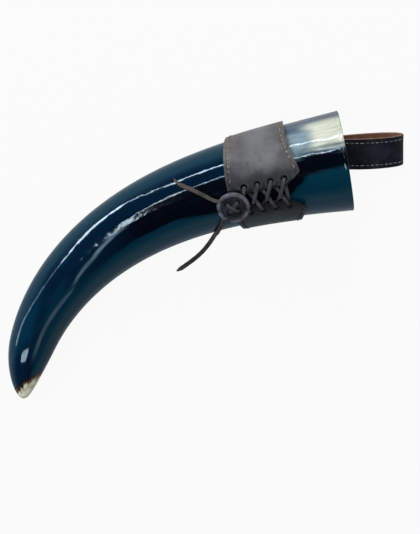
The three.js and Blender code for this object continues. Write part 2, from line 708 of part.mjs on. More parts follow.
addPiece('tab_upper_stitching', strapStitching(outerTabSeam, 1), PALE_THREAD);
addPiece('tab_lower_stitching', strapStitching(outerTabSeam, -1), PALE_THREAD);

// Lay it down: the lowest point on the table, the middle of the box over the origin
laid.rotation.set(radians(LIE_ROLL), radians(LIE_PITCH), 0, 'YXZ');
const box = new THREE.Box3().setFromObject(laid, true);
const centre = box.getCenter(new THREE.Vector3());
laid.position.set(-centre.x, -centre.y, -box.min.z);

addPiece('lace_tail_upper', tailGeometry(UPPER_TAIL, 0), LACE_LEATHER, drinkingHorn);
addPiece('lace_tail_lower', tailGeometry(LOWER_TAIL, 0), LACE_LEATHER, drinkingHorn);

export default drinkingHorn;
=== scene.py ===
import json
from bisect import bisect_left
from itertools import accumulate
from math import atan2, cos, degrees, exp, pi, radians, sin, sqrt, tan

import bpy
from mathutils import Matrix, Vector, noise


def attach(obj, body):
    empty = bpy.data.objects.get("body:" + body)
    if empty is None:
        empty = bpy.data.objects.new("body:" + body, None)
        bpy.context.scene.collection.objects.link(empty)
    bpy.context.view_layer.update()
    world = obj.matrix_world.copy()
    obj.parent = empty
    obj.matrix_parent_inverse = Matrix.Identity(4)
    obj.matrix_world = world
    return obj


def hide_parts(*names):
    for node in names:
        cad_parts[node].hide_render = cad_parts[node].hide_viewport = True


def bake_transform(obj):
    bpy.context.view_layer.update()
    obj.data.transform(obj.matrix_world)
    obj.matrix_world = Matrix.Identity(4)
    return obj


# A polished drinking horn in a laced leather belt holder, lying on a pale table. Metres, in the frame
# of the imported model, whose nodes give the moving bodies. The horn's own axes come from its rim and from
# the way that the holder slides: out of the mouth, to the outside of the curve, and off the laced front.
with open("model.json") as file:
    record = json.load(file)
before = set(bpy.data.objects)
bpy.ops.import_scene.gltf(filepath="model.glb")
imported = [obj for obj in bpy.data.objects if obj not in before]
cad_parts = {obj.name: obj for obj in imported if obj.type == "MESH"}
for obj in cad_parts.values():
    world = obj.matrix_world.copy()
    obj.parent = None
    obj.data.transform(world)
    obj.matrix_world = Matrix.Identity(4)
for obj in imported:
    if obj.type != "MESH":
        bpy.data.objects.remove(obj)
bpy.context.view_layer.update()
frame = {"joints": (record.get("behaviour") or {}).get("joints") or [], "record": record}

mounts = {mount["name"]: mount for mount in frame["record"]["mounts"]}
joints = {joint["name"]: joint for joint in frame["joints"]}
mouth_way = Vector(mounts["rim_face"]["axis"]).normalized()
front_way = Vector(joints["holder_slide"]["axis"]).normalized()
side_way = front_way.cross(mouth_way)
RIM_POINT_RADIUS = 0.0344
RIM_POINT_TURN = radians(5)
rim_point = sin(RIM_POINT_TURN) * side_way + cos(RIM_POINT_TURN) * front_way
mouth_centre = Vector(mounts["rim_face"]["pos_m"]) - RIM_POINT_RADIUS * rim_point


# Camera: a portrait frame, from above the laced front. The horn's mouth is to the right, seen edge-on,
# and the picture is turned a little against the horn's axes.
PICTURE_HEIGHT = 534
METRES_PER_PIXEL = 0.000716
PICTURE_CENTRE = (-0.1081, -0.0587)
PICTURE_TURN = radians(9.4)
CAMERA_DISTANCE = 0.93
LEAN_TO_MOUTH = radians(4.2)
LEAN_TO_INSIDE = radians(4)
picture_up = sin(PICTURE_TURN) * mouth_way + cos(PICTURE_TURN) * side_way
looked_at = mouth_centre + PICTURE_CENTRE[0] * mouth_way + PICTURE_CENTRE[1] * side_way
toward_camera = (front_way + tan(LEAN_TO_MOUTH) * mouth_way - tan(LEAN_TO_INSIDE) * side_way).normalized()
camera_right = picture_up.cross(toward_camera).normalized()
camera_up = toward_camera.cross(camera_right)


def turned_to(x, y, z):
    """The turn that takes the three axes to these ways."""
    return Matrix((x, y, z)).transposed().to_4x4()


lens = bpy.data.cameras.new("camera")
lens.lens = lens.sensor_width * CAMERA_DISTANCE / (PICTURE_HEIGHT * METRES_PER_PIXEL)
camera = bpy.data.objects.new("camera", lens)
camera_place = Matrix.Translation(looked_at + CAMERA_DISTANCE * toward_camera)
camera.matrix_world = camera_place @ turned_to(camera_right, camera_up, toward_camera)
bpy.context.scene.collection.objects.link(camera)
bpy.context.scene.camera = camera


# Free ends of the lace: a narrow leather thong, cut by hand, leaves the disc on both sides. The upper end
# lies over the horn and is cut to a long point. The lower one hangs down the flank to the table and is cut
# blunt. Both widen a little toward their ends.
THONG_WIDTH = 0.0026
THONG_THICKNESS = 0.0012
THONG_WAVER = 0.06
UPPER_TAIL_CUT = 0.008
LOWER_TAIL_CUT = 0.004
TAIL_END_WIDTH = 0.18
TAIL_END_THICKNESS = 0.45
TAIL_SPREAD = 0.25
TAIL_SPREAD_FROM = 0.008
TAIL_SPREAD_TO = 0.028
SAME_RUN = 0.00001
NEAR_DISC_FROM_MOUTH = 0.105
NEAR_DISC_TO_INSIDE = 0.012
UPPER_TAIL = [
    (0.0087, 0.0339, 0.0698), (0.0060, 0.0343, 0.0696), (0.0035, 0.0354, 0.0684),
    (0.0013, 0.0367, 0.0671), (-0.0007, 0.0384, 0.0659), (-0.0028, 0.0401, 0.0651),
    (-0.0050, 0.0418, 0.0644), (-0.0072, 0.0434, 0.0637), (-0.0094, 0.0451, 0.0629),
    (-0.0116, 0.0466, 0.0620), (-0.0139, 0.0480, 0.0610), (-0.0161, 0.0494, 0.0598),
    (-0.0180, 0.0510, 0.0585), (-0.0195, 0.0529, 0.0570), (-0.0205, 0.0550, 0.0553),
]
LOWER_TAIL = [
    (0.0100, 0.0248, 0.0659), (0.0082, 0.0225, 0.0631), (0.0078, 0.0200, 0.0591),
    (0.0071, 0.0172, 0.0549), (0.0058, 0.0145, 0.0511), (0.0047, 0.0123, 0.0469),
    (0.0040, 0.0109, 0.0425), (0.0037, 0.0100, 0.0378), (0.0035, 0.0089, 0.0331),
    (0.0032, 0.0076, 0.0285), (0.0028, 0.0062, 0.0239), (0.0022, 0.0047, 0.0193),
    (0.0015, 0.0030, 0.0148), (0.0004, 0.0012, 0.0105), (-0.0014, -0.0011, 0.0066),
    (-0.0041, -0.0037, 0.0036), (-0.0078, -0.0063, 0.0021), (-0.0120, -0.0086, 0.0019),
    (-0.0164, -0.0107, 0.0019), (-0.0208, -0.0127, 0.0019), (-0.0253, -0.0144, 0.0019),
]


def smooth_route(points, steps):
    """Points of a smooth line through the given ones, with this many steps between two."""
    knots = [Vector(point) for point in points]
    knots = [2 * knots[0] - knots[1], *knots, 2 * knots[-1] - knots[-2]]
    line = []
    for a, b, c, d in zip(knots, knots[1:], knots[2:], knots[3:]):
        ab, bc, cd = (sqrt((q - p).length) for p, q in ((a, b), (b, c), (c, d)))
        leave = bc * ((b - a) / ab - (c - a) / (ab + bc) + (c - b) / bc)
        arrive = bc * ((c - b) / bc - (d - b) / (bc + cd) + (d - c) / cd)
        for i in range(steps):
            t = i / steps
            line.append(
                (2 * t**3 - 3 * t**2 + 1) * b + (t**3 - 2 * t**2 + t) * leave
                + (3 * t**2 - 2 * t**3) * c + (t**3 - t**2) * arrive)
    line.append(knots[-2])
    return line


def runs_of(line):
    """How far along a line each of its points lies."""
    return [0, *accumulate((b - a).length for a, b in zip(line, line[1:]))]


def tangent_of(line, i):
    """The way that a line runs at one of its points."""
    return (line[min(i + 1, len(line) - 1)] - line[max(i - 1, 0)]).normalized()


def new_piece(name, add_primitive, **sizes):
    """A piece that starts as one of Blender's primitives, selected alone."""
    bpy.ops.object.select_all(action="DESELECT")
    add_primitive(**sizes)
    piece = bpy.context.object
    piece.name = name
    return piece


def face_outward():
    """Turns all faces of the mesh in edit mode outward, and leaves edit mode."""
    bpy.ops.mesh.select_all(action="SELECT")
    bpy.ops.mesh.normals_make_consistent(inside=False)
    bpy.ops.object.mode_set(mode="OBJECT")


def lay(piece, place):
    """Keeps each point's place on the blank for the finish, and moves it to its place on the object."""
    blank = piece.data.attributes.new("blank", "FLOAT_VECTOR", "POINT")
    for point, kept in zip(piece.data.vertices, blank.data):
        kept.vector = point.co
        point.co = place(*point.co)
    piece.data.update()


def smooth_shading(piece, angle=40):
    bpy.ops.object.select_all(action="DESELECT")
    piece.select_set(True)
    bpy.context.view_layer.objects.active = piece
    bpy.ops.object.shade_smooth_by_angle(angle=radians(angle))


def thong(name, line, width_way, cut=None):
    """A flat thong drawn out along a line, its width along the given way. A free end, with a cut of this
    length, widens and then narrows to its tip."""
    runs = runs_of(line)
    piece = new_piece(name, bpy.ops.mesh.primitive_plane_add, size=THONG_WIDTH)
    bpy.ops.object.mode_set(mode="EDIT")
    bpy.ops.transform.resize(value=(1, THONG_THICKNESS / THONG_WIDTH, 1))
    bpy.ops.mesh.bevel(offset=0.3 * THONG_THICKNESS, segments=3, affect="VERTICES")
    for near, far in zip(runs, runs[1:]):
        bpy.ops.mesh.extrude_region_move(TRANSFORM_OT_translate={"value": (0, 0, far - near)})
    face_outward()

    def place(across, up, run):
        i = min(bisect_left(runs, run - SAME_RUN), len(line) - 1)
        tangent = tangent_of(line, i)
        wide = width_way(i) if callable(width_way) else width_way
        wide = (wide - wide.dot(tangent) * tangent).normalized()
        across *= 1 + THONG_WAVER * noise.noise(Vector((300 * run, len(name), 0)))
        if cut:
            spread = (run - TAIL_SPREAD_FROM) / (TAIL_SPREAD_TO - TAIL_SPREAD_FROM)
            across *= 1 + TAIL_SPREAD * min(max(spread, 0), 1)
            left = min(1, max(0, runs[-1] - run) / cut)
            across *= TAIL_END_WIDTH + (1 - TAIL_END_WIDTH) * left**0.7
            up *= TAIL_END_THICKNESS + (1 - TAIL_END_THICKNESS) * left
        return line[i] + across * wide + up * tangent.cross(wide)

    lay(piece, place)
    smooth_shading(piece)
    return piece


class Shade:
    """One output of a shader node. Arithmetic on it adds Math nodes to the same material."""

    def __init__(self, tree, socket=None):
        self.tree = tree
        self.socket = socket

    def node(self, kind, settings=(), sockets=(), output=0):
        """One output of a new node, with its settings and with what goes into its sockets."""
        made = self.tree.nodes.new("ShaderNode" + kind)
        for name, value in dict(settings).items():
            setattr(made, name, value)
        for name, value in dict(sockets).items():
            if isinstance(value, Shade):
                self.tree.links.new(value.socket, made.inputs[name])
            else:
                made.inputs[name].default_value = value
        return Shade(self.tree, made.outputs[output] if made.outputs else None)

    def math(self, operation, *others):
        return self.node("Math", {"operation": operation}, enumerate((self, *others)))

    def __add__(self, other):
        return self.math("ADD", other)

    __radd__ = __add__

    def __sub__(self, other):
        return self.math("SUBTRACT", other)

    def __rsub__(self, other):
        return self.node("Math", {"operation": "SUBTRACT"}, {0: other, 1: self})

    def __mul__(self, other):
        return self.math("MULTIPLY", other)

    __rmul__ = __mul__

    def __truediv__(self, other):
        return self.math("DIVIDE", other)

    def between(self, low, high):
        """0 below low, 1 above high, and smooth between them. It falls where low is above high."""
        limits = {"From Min": min(low, high), "From Max": max(low, high), "Value": self}
        rise = self.node("MapRange", {"interpolation_type": "SMOOTHSTEP"}, limits)
        return rise if low < high else 1 - rise

    def mix(self, first, second):
        """The first colour where this value is 0, the second where it is 1."""
        sockets = {0: self}
        for index, colour in ((6, first), (7, second)):
            sockets[index] = colour if isinstance(colour, Shade) else (*colour, 1)
        return self.node("Mix", {"data_type": "RGBA"}, sockets, 2)

    def parts(self):
        """The three numbers of a vector."""
        split = self.node("SeparateXYZ", (), {0: self}).socket.node
        return [Shade(self.tree, output) for output in split.outputs]

    def scaled(self, *factors):
        return self.node("VectorMath", {"operation": "MULTIPLY"}, {0: self, 1: factors})

    def speckle(self, scale, detail=3, rough=0.55, warp=0):
        return self.node("TexNoise", (), {
            "Vector": self, "Scale": scale, "Detail": detail, "Roughness": rough, "Distortion": warp})


def finish_of(name, gloss=0.5):
    """A new material, its main shader, and the place on the blank that its pattern follows."""
    material = bpy.data.materials.new(name)
    material.use_nodes = True
    shader = material.node_tree.nodes["Principled BSDF"]
    shader.inputs["Specular IOR Level"].default_value = gloss
    blank = Shade(material.node_tree).node("Attribute", {"attribute_name": "blank"}, output="Vector")
    return material, shader, blank


def paint(shader, colour, roughness, relief, strength, depth):
    """Links what varies over the surface to the main shader."""
    bump = relief.node("Bump", (), {"Strength": strength, "Distance": depth, "Height": relief})
    for name, value in (("Base Color", colour), ("Roughness", roughness), ("Normal", bump)):
        shader.id_data.links.new(value.socket, shader.inputs[name])


def thong_leather(name, dark, light):
    """Dull lace leather: long fibres, rubbed paler in places, with darker raw edges."""
    raw_edge = (0.024, 0.018, 0.016)
    material, shader, blank = finish_of(name, 0.12)
    across = blank.parts()[0]
    fibres = blank.scaled(2600, 2600, 260).speckle(1, 4)
    blotches = blank.scaled(160, 160, 90).speckle(1, 2)
    colour = (fibres * 0.6 + blotches * 0.5).between(0.35, 0.75).mix(dark, light)
    edge = across.math("ABSOLUTE").between(0.36 * THONG_WIDTH, 0.5 * THONG_WIDTH)
    colour = (edge * 0.5).mix(colour, raw_edge)
    paint(shader, colour, fibres * 0.25 + 0.5, fibres + blotches * 0.6, strength=0.5, depth=0.0002)
    return material


lace_leather = thong_leather("lace_leather", (0.024, 0.019, 0.017), (0.085, 0.07, 0.062))
horn_near_disc = mouth_centre - NEAR_DISC_FROM_MOUTH * mouth_way - NEAR_DISC_TO_INSIDE * side_way


def off_the_horn(line, share):
    """The way across a thong that lies flat on the horn by this share, and otherwise shows its face."""
    def way(i):
        off = line[i] - horn_near_disc
        off = (off - off.dot(mouth_way) * mouth_way).normalized()
        return tangent_of(line, i).cross(toward_camera.lerp(off, share))
    return way


for tail_name, tail_points, tail_lay, tail_flat, tail_cut in (
        ("lace_end_upper", UPPER_TAIL, "loose", 1, UPPER_TAIL_CUT),
        ("lace_end_lower", LOWER_TAIL, "hanging", 0.15, LOWER_TAIL_CUT)):
    tail_line = smooth_route(tail_points, steps=4)
    tail = thong(tail_name, tail_line, off_the_horn(tail_line, tail_flat), tail_cut)
    tail.data.materials.append(lace_leather)
    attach(tail, "button")
    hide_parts(tail_name.replace("end", "tail"))
    runs_of(tail_line)[-1]


# Horn: one cattle horn, boiled out, scraped, polished and waxed. It is hollow to beyond the middle and
# solid at the tip. The mouth is sawn flat, its lip eased and marked by a fine turned line, and pale horn
# shows there.
HORN_LENGTH = 0.315
HORN_TURN = radians(82)
HORN_GIRTHS = (0.036, 0.0291, 0.0226, 0.0114)
TIP_ROUNDING = 0.041
MOUTH_WALL = 0.003
HOLLOW_DEPTH = 0.195
LIP_EASE = 0.0008
LIP_LINE = 0.0031
LIP_LINE_DEPTH = 0.00016
LIP_ZONE = 0.006
HORN_SIDES = 144
TIP_RINGS = 24
BODY_RINGS = 190
LIP_RINGS = 4
HOLLOW_RINGS = 40
LINE_STEPS = 420
FLAT_DEPTH = 0.001


def taper(distance):
    """The horn's radius: a cubic through its four girths."""
    place = 3 * distance / HORN_LENGTH
    total = 0
    for i, girth in enumerate(HORN_GIRTHS):
        for j in range(4):
            girth *= 1 if i == j else (place - j) / (i - j)
        total += girth
    return total


def heading(distance):
    return HORN_TURN * (max(distance, 0) / HORN_LENGTH) ** 2


def tipward(distance):
    return -cos(heading(distance)) * mouth_way - sin(heading(distance)) * side_way


def outward(distance):
    return cos(heading(distance)) * side_way - sin(heading(distance)) * mouth_way


line_step = HORN_LENGTH / LINE_STEPS
middle_line = list(accumulate(
    (line_step * tipward((i + 0.5) * line_step) for i in range(LINE_STEPS)), initial=mouth_centre))


def middle(distance):
    if distance <= 0:
        return mouth_centre + distance * tipward(0)
    whole = min(int(distance / line_step), LINE_STEPS - 1)
    return middle_line[whole].lerp(middle_line[whole + 1], distance / line_step - whole)


def around(distance, turn, radius):
    """A point round the horn: the turn is from the front toward the outside of the curve."""
    return middle(distance) + radius * (cos(turn) * front_way + sin(turn) * outward(distance))


def rise(value, low, high):
    """0 below low, 1 above high, and smooth between them."""
    share = min(max((value - low) / (high - low), 0), 1)
    return share * share * (3 - 2 * share)


def hand_scraped(distance, turn):
    """The shallow flats and ripples that scraping leaves, fading under the holder and at both ends."""
    shown = rise(distance, 0.093, 0.118) * (1 - 0.5 * rise(distance, 0.27, 0.31))
    shown += 0.5 * rise(distance, 0.004, 0.012) * (1 - rise(distance, 0.022, 0.032))
    drift = 0.5 * sin(9 * distance) + 0.25 * sin(31 * distance + 1)
    flats = 0.02 * cos(5 * turn + 0.4 + drift) + 0.012 * cos(9 * turn - 1.3 - 2 * drift)
    flats += 0.03 * noise.noise(Vector((40 * distance, 3 * cos(turn), 3 * sin(turn))))
    rippled = 0.25 + rise(distance, 0.15, 0.17) * (1 - rise(distance, 0.2, 0.215))
    flats += 0.03 * rippled * noise.noise(Vector((260 * distance, 12 * cos(turn), 12 * sin(turn))))
    return FLAT_DEPTH * shown * flats


def horn_profile():
    """Distance and radius of each ring, from the tip along the outside, over the lip, down the hollow."""
    rings = []
    for i in range(1, TIP_RINGS + 1):
        swing = radians(90 * i / TIP_RINGS)
        distance = HORN_LENGTH - TIP_ROUNDING * (1 - cos(swing))
        rings.append((distance, taper(distance) * sin(swing)))
    body = HORN_LENGTH - TIP_ROUNDING
    for i in range(1, BODY_RINGS + 1):
        distance = body + (LIP_ZONE - body) * i / BODY_RINGS
        rings.append((distance, taper(distance)))
    for beside in (0.0014, 0.0005, 0.0002, 0, -0.0002, -0.0011):
        distance = LIP_LINE + beside
        rings.append((distance, taper(distance) - (0 if beside else LIP_LINE_DEPTH)))
    eased = [radians(90 * i / LIP_RINGS) for i in range(LIP_RINGS + 1)]
    for swing in eased:
        rings.append((LIP_EASE * (1 - sin(swing)), taper(0) - LIP_EASE * (1 - cos(swing))))
    for swing in eased:
        rings.append((LIP_EASE * (1 - cos(swing)), taper(0) - MOUTH_WALL + LIP_EASE * (1 - sin(swing))))
    for i in range(1, HOLLOW_RINGS + 1):
        distance = LIP_EASE + (HOLLOW_DEPTH - LIP_EASE) * (1 - (1 - i / HOLLOW_RINGS) ** 2)
        closing = sqrt(max(1 - ((distance - LIP_EASE) / (HOLLOW_DEPTH - LIP_EASE)) ** 3, 0.0004))
        rings.append((distance, (taper(distance) - MOUTH_WALL) * closing))
    return rings


def turned_horn():
    """The straight horn, drawn out ring by ring from a disc at the tip, along Z."""
    rings = horn_profile()
    start, start_radius = rings[0]
    piece = new_piece("polished_horn", bpy.ops.mesh.primitive_circle_add, vertices=HORN_SIDES,
                      radius=start_radius, fill_type="TRIFAN", location=(0, 0, start))
    bpy.ops.object.transform_apply(location=True)
    bpy.ops.object.mode_set(mode="EDIT")
    bpy.ops.mesh.select_all(action="DESELECT")
    bpy.ops.mesh.select_mode(type="EDGE")
    bpy.ops.mesh.select_non_manifold()
    for (near, small), (far, large) in zip(rings, rings[1:]):
        bpy.ops.mesh.extrude_edges_move(TRANSFORM_OT_translate={"value": (0, 0, far - near)})
        bpy.ops.transform.resize(value=(large / small, large / small, 1), center_override=(0, 0, far))
    bpy.ops.mesh.merge(type="CENTER")
    bpy.ops.mesh.select_mode(type="VERT")
    face_outward()
    return piece


def horn_polish():
    """Black polished horn, front and teal flanks partly painted reflection, a painted highlight streak,
    cream and grey-blue streaks at the mouth, an ivory tip.
    """
    navy, near_black = (0.0004, 0.0075, 0.0205), (0.0004, 0.0012, 0.004)
    dark_back, painted_streak_highlight = (0.0004, 0.005, 0.0135), (0.1, 0.155, 0.19)
    outer_teal_painted_reflection, inner_teal_painted_reflection = (0.0004, 0.022, 0.04), (0.0006, 0.025, 0.044)
    cloud_teal, flank_blue_painted_reflection = (0.0006, 0.021, 0.042), (0.001, 0.026, 0.062)
    smoke_dark, smoke_light = (0.035, 0.062, 0.09), (0.2, 0.255, 0.28)
    dusk_dark, dusk_light = (0.03, 0.036, 0.055), (0.14, 0.145, 0.17)
    cream_dark, cream_light = (0.36, 0.36, 0.29), (0.55, 0.545, 0.44)
    burnt, rust_dark, rust_light = (0.012, 0.006, 0.004), (0.03, 0.013, 0.006), (0.2, 0.11, 0.04)
    ivory_dark, ivory_light = (0.4, 0.33, 0.2), (0.78, 0.74, 0.6)
    hollow_dark, hollow_light = (0.05, 0.04, 0.03), (0.16, 0.13, 0.095)
    material, shader, blank = finish_of("horn_polish", 0.25)
    side, front, distance = blank.parts()
    turn = side.math("ARCTAN2", front) * degrees(1)
    grain = blank.scaled(420, 420, 16).speckle(1, 4, 0.6)
    cloud = blank.scaled(60, 60, 18).speckle(1, 3)
    # Painted reflection over the horn's own dark colour: the front, which mirrors the dark room, is near
    # black, and the flanks, which mirror the paler room and the table, are teal and blue.
    band = turn + (cloud - 0.5) * 16 + (grain - 0.5) * 8
    # Painted shade: from 0.026 to 0.13 along the horn the lower edge of the teal is pushed down, so the
    # horn stays dark under the holder and its laced gap.
    low_edge = band + distance.between(0.026, 0.05) * 28 - distance.between(0.085, 0.13) * 12
    black = band.between(9, 2) * low_edge.between(-20, -14) * distance.between(0.19, 0.15)
    depth = black.mix(navy, near_black)
    depth = band.between(24, 44).mix(depth, outer_teal_painted_reflection)
    depth = low_edge.between(-13, -21).mix(depth, inner_teal_painted_reflection)
    murky = cloud.between(0.42, 0.62) * distance.between(0.19, 0.23)
    depth = (murky * 0.8).mix(depth, cloud_teal)
    round_off = (turn + (cloud - 0.5) * 24 + (grain - 0.5) * 16).math("ABSOLUTE")
    depth = round_off.between(60, 80).mix(depth, flank_blue_painted_reflection)
    depth = round_off.between(88, 120).mix(depth, dark_back)
    # Painted highlight: a pale streak along a ridge toward the tip, where the polished horn would mirror a
    # light.
    ridge_highlight = turn + 3 + distance.between(0.165, 0.212) * 14 + distance.between(0.205, 0.228) * 9
    ridge_highlight = ridge_highlight + (cloud - 0.5) * 10
    ridge_highlight = ridge_highlight.math("ABSOLUTE") / (1 + distance.between(0.215, 0.25) * 0.7)
    ridge_highlight = ridge_highlight.between(4.5, 0.5) * distance.between(0.158, 0.178) * distance.between(0.292, 0.27)
    ridge_highlight = ridge_highlight * (0.4 + distance.between(0.222, 0.2) * 0.6) * grain.between(0.25, 0.55)
    depth = ridge_highlight.mix(depth, painted_streak_highlight)
    reach = distance + (cloud - 0.5) * 0.03 + (grain - 0.5) * 0.006
    patch = turn + (cloud - 0.5) * 30 + (grain - 0.5) * 14
    streaked = patch.between(-1, 9) * patch.between(105, 66) * distance.between(0.055, 0.036)
    smoke = (cloud * 0.7 + grain * 0.3).between(0.36, 0.64).mix(smoke_dark, smoke_light)
    dusk = (cloud * 0.6 + grain * 0.4).between(0.36, 0.64).mix(dusk_dark, dusk_light)
    smoke = patch.between(44, 64).mix(smoke, dusk)
    creamy = patch.between(6, 16) * patch.between(58, 44) * reach.between(0.029, 0.017)
    cream = (cloud * 0.4 + grain * 0.6).between(0.34, 0.66).mix(cream_dark, cream_light)
    colour = streaked.mix(depth, smoke)
    colour = creamy.mix(colour, cream)
    tipped = distance - side * 0.9 + (cloud - 0.5) * 0.01 + (grain - 0.5) * 0.008
    colour = tipped.between(0.302, 0.3055).mix(colour, burnt)
    rust = grain.between(0.42, 0.6).mix(rust_dark, rust_light)
    colour = tipped.between(0.3045, 0.3075).mix(colour, rust)
    ivory = (cloud * 0.5 + grain * 0.5).between(0.36, 0.62).mix(ivory_dark, ivory_light)
    colour = tipped.between(0.3065, 0.3095).mix(colour, ivory)
    inner = (side * side + front * front).math("SQRT") + distance * 0.0667
    inside = inner.between(0.0352, 0.034) * distance.between(0.0002, 0.0012) * distance.between(0.21, 0.2)
    colour = inside.mix(colour, cloud.between(0.3, 0.7).mix(hollow_dark, hollow_light))
    scuffs = blank.scaled(900, 900, 45).speckle(1, 3)
    rough = 0.055 + scuffs.between(0.5, 0.85) * 0.1 + inside * 0.35
    waves = blank.scaled(170, 170, 90).speckle(1, 2, 0.5)
    relief = grain * 0.4 + scuffs * 0.25 + waves * 5.5
    paint(shader, colour, rough, relief, strength=0.12, depth=0.0002)
    shader.inputs["Specular Tint"].default_value = (0.75, 0.9, 1, 1)
    return material


def bent(side, front, distance):
    """Where a point of the straight horn goes on the curved one."""
    turn, radius = atan2(side, front), sqrt(side * side + front * front)
    wall = taper(distance) - MOUTH_WALL / 2
    outside = radius > wall or distance > HOLLOW_DEPTH
    radius += hand_scraped(distance, turn) * (rise(radius, 0, 0.004) if outside else 0)
    return around(distance, turn, radius)


horn = turned_horn()
lay(horn, bent)
horn.data.materials.append(horn_polish())
smooth_shading(horn, 50)
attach(horn, "horn")
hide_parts("horn")


# Lining of the wrap: thin tan leather, glued inside the holder. It ends before the laced flaps, so little
# more than its edges shows, at the mouth end and the tip end of the wrap.
CLOSURE_TILT = radians(31.5)
WRAP_MOUTH_EDGE = 0.0388
WRAP_TIP_EDGE = 0.0765
WRAP_LEATHER = 0.0014
WRAP_LINING = 0.0009
FIT = 0.0003
TIP_FLARE = 0.010
EAR_REACH = 0.0054
EAR_ARC = 0.0134
EAR_FOOT_ARC = 0.042
EAR_LIFT = 0.0012
EAR_CURL = 0.016
NOTCH_CUT = 0.0056
LACED_GAP = 0.0098
LINING_ARC = 0.020
LINING_INSET = 0.001
EDGE_ROUNDING = 0.22
HOLE_ROW_ARC = 0.0099
HOLE_RADIUS = 0.0022
flap_base = FIT + THONG_THICKNESS + FIT
sleeve_base = FIT + WRAP_LINING + FIT
wrap_girth = taper((WRAP_MOUTH_EDGE + WRAP_TIP_EDGE) / 2) + sleeve_base + WRAP_LEATHER
gap_turn, ear_turn, ear_foot_turn, lining_turn = (
    arc / wrap_girth for arc in (LACED_GAP / 2, EAR_ARC, EAR_FOOT_ARC, LINING_ARC))
flap_turn = (HOLE_ROW_ARC + 2 * HOLE_RADIUS) / wrap_girth


def folded(turn):
    """The turn from the laced gap, the same to both sides."""
    return min(turn, 2 * pi - turn)


def mouth_edge(turn):
    """Where the wrap starts: the corners at the gap are cut back, and beside them two ears stand out."""
    turn = folded(turn)
    if turn < ear_turn:
        share = (turn - gap_turn) / (ear_turn - gap_turn)
        return WRAP_MOUTH_EDGE + NOTCH_CUT * (1 - share) - EAR_REACH * share
    share = rise(turn, 2 * ear_turn - ear_foot_turn, ear_foot_turn)
    return WRAP_MOUTH_EDGE - EAR_REACH * 2 * (1 - share)


def tip_edge(turn):
    return WRAP_TIP_EDGE + TIP_FLARE * ((1 + cos(turn)) / 2) ** 1.5


def wrap_base(turn, distance):
    """How far the wrap's inside stands off the horn: more at the flaps, and most where the ears curl."""
    turn, start = folded(turn), mouth_edge(turn)
    lined = rise(turn, flap_turn, max(lining_turn, flap_turn + radians(1)))
    from_ear = abs(turn - ear_turn) / (ear_foot_turn - ear_turn)
    curl = max(0, 1 - (distance - start) / EAR_CURL) * max(0, 1 - 2 * from_ear)
    return flap_base + (sleeve_base - flap_base) * lined + EAR_LIFT * curl * curl


def on_wrap(distance, turn, height):
    return around(distance, turn - CLOSURE_TILT, taper(distance) + wrap_base(turn, distance) + height)


def thicken(sheet, thickness, side):
    """Gives a flat sheet its thickness, to one side, and eases its cut edges."""
    solid = sheet.modifiers.new("thickness", "SOLIDIFY")
    solid.thickness = thickness
    solid.offset = side
    round_over = sheet.modifiers.new("edges", "BEVEL")
    round_over.width = EDGE_ROUNDING * thickness
    round_over.segments = 2
    round_over.limit_method = "ANGLE"
    round_over.angle_limit = radians(60)
    bpy.ops.object.modifier_apply(modifier="thickness")
    bpy.ops.object.modifier_apply(modifier="edges")


def cut_sheet(name, first_turn, inset, thickness, columns, rows):
    """A flat sheet cut to the wrap's pattern: arcs along X, distances from the horn's mouth along Y."""
    piece = new_piece(
        name, bpy.ops.mesh.primitive_grid_add, x_subdivisions=columns, y_subdivisions=rows, size=1)
    for point in piece.data.vertices:
        turn = first_turn + (point.co.x + 0.5) * (2 * pi - 2 * first_turn)
        share = point.co.y + 0.5
        share -= 0.09 * sin(2 * pi * share)
        start, end = mouth_edge(turn) + inset, tip_edge(turn) - inset
        point.co = (turn * wrap_girth, start + (end - start) * share, 0)
    thicken(piece, thickness, 1)
    return piece


def lining_leather():
    """Undyed tan split leather with a fine nap, rubbed redder and darker in patches."""
    red_tan, plain_tan, pale_nap = (0.105, 0.036, 0.02), (0.2, 0.085, 0.05), (0.26, 0.13, 0.085)
    material, shader, blank = finish_of("lining_leather", 0.25)
    nap = blank.speckle(2400, 3, 0.6)
    rubbed = blank.speckle(130, 3)
    colour = rubbed.between(0.35, 0.68).mix(red_tan, plain_tan)
    colour = (nap * 0.7).mix(colour, pale_nap)
    paint(shader, colour, nap * 0.2 + 0.7, nap + rubbed * 0.4, strength=0.5, depth=0.0002)
    return material


tan_leather = lining_leather()
wrap_lining = cut_sheet(
    "wrap_lining_leather", lining_turn, LINING_INSET, WRAP_LINING, columns=150, rows=24)
lay(wrap_lining, lambda arc, distance, height: around(
    distance, arc / wrap_girth - CLOSURE_TILT, taper(distance) + FIT + height))
wrap_lining.data.materials.append(tan_leather)
smooth_shading(wrap_lining)
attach(wrap_lining, "holder")
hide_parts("wrap_lining")


# Leather of the wrap: one piece of waxed brown hide, cut to pattern, punched with eight holes and pulled
# round the horn by its lacing, which scallops the flaps' edges and dents them at the holes.
HOLE_PAIRS = 4
HOLE_PITCH = 0.0096
FIRST_HOLE = 0.0452
HOLE_SIDES = 28
PUNCH_LENGTH = 0.02
SCALLOP = 0.0007
SCALLOP_WIDTH = 0.0035
HOLE_SWELL = 0.0003
HOLE_DENT = 0.00018
DEEPEST_DENT = 0.0002
HIDE_WAVES = 0.0005
STITCH_MARGIN = 0.003
STITCH_CREASE = 0.0004
CREASE_WIDTH = 0.0006
hole_turn = (HOLE_ROW_ARC + THONG_THICKNESS / 4) / wrap_girth
holes = [
    (FIRST_HOLE + pair * HOLE_PITCH, turn)
    for pair in range(HOLE_PAIRS) for turn in (hole_turn, 2 * pi - hole_turn)]


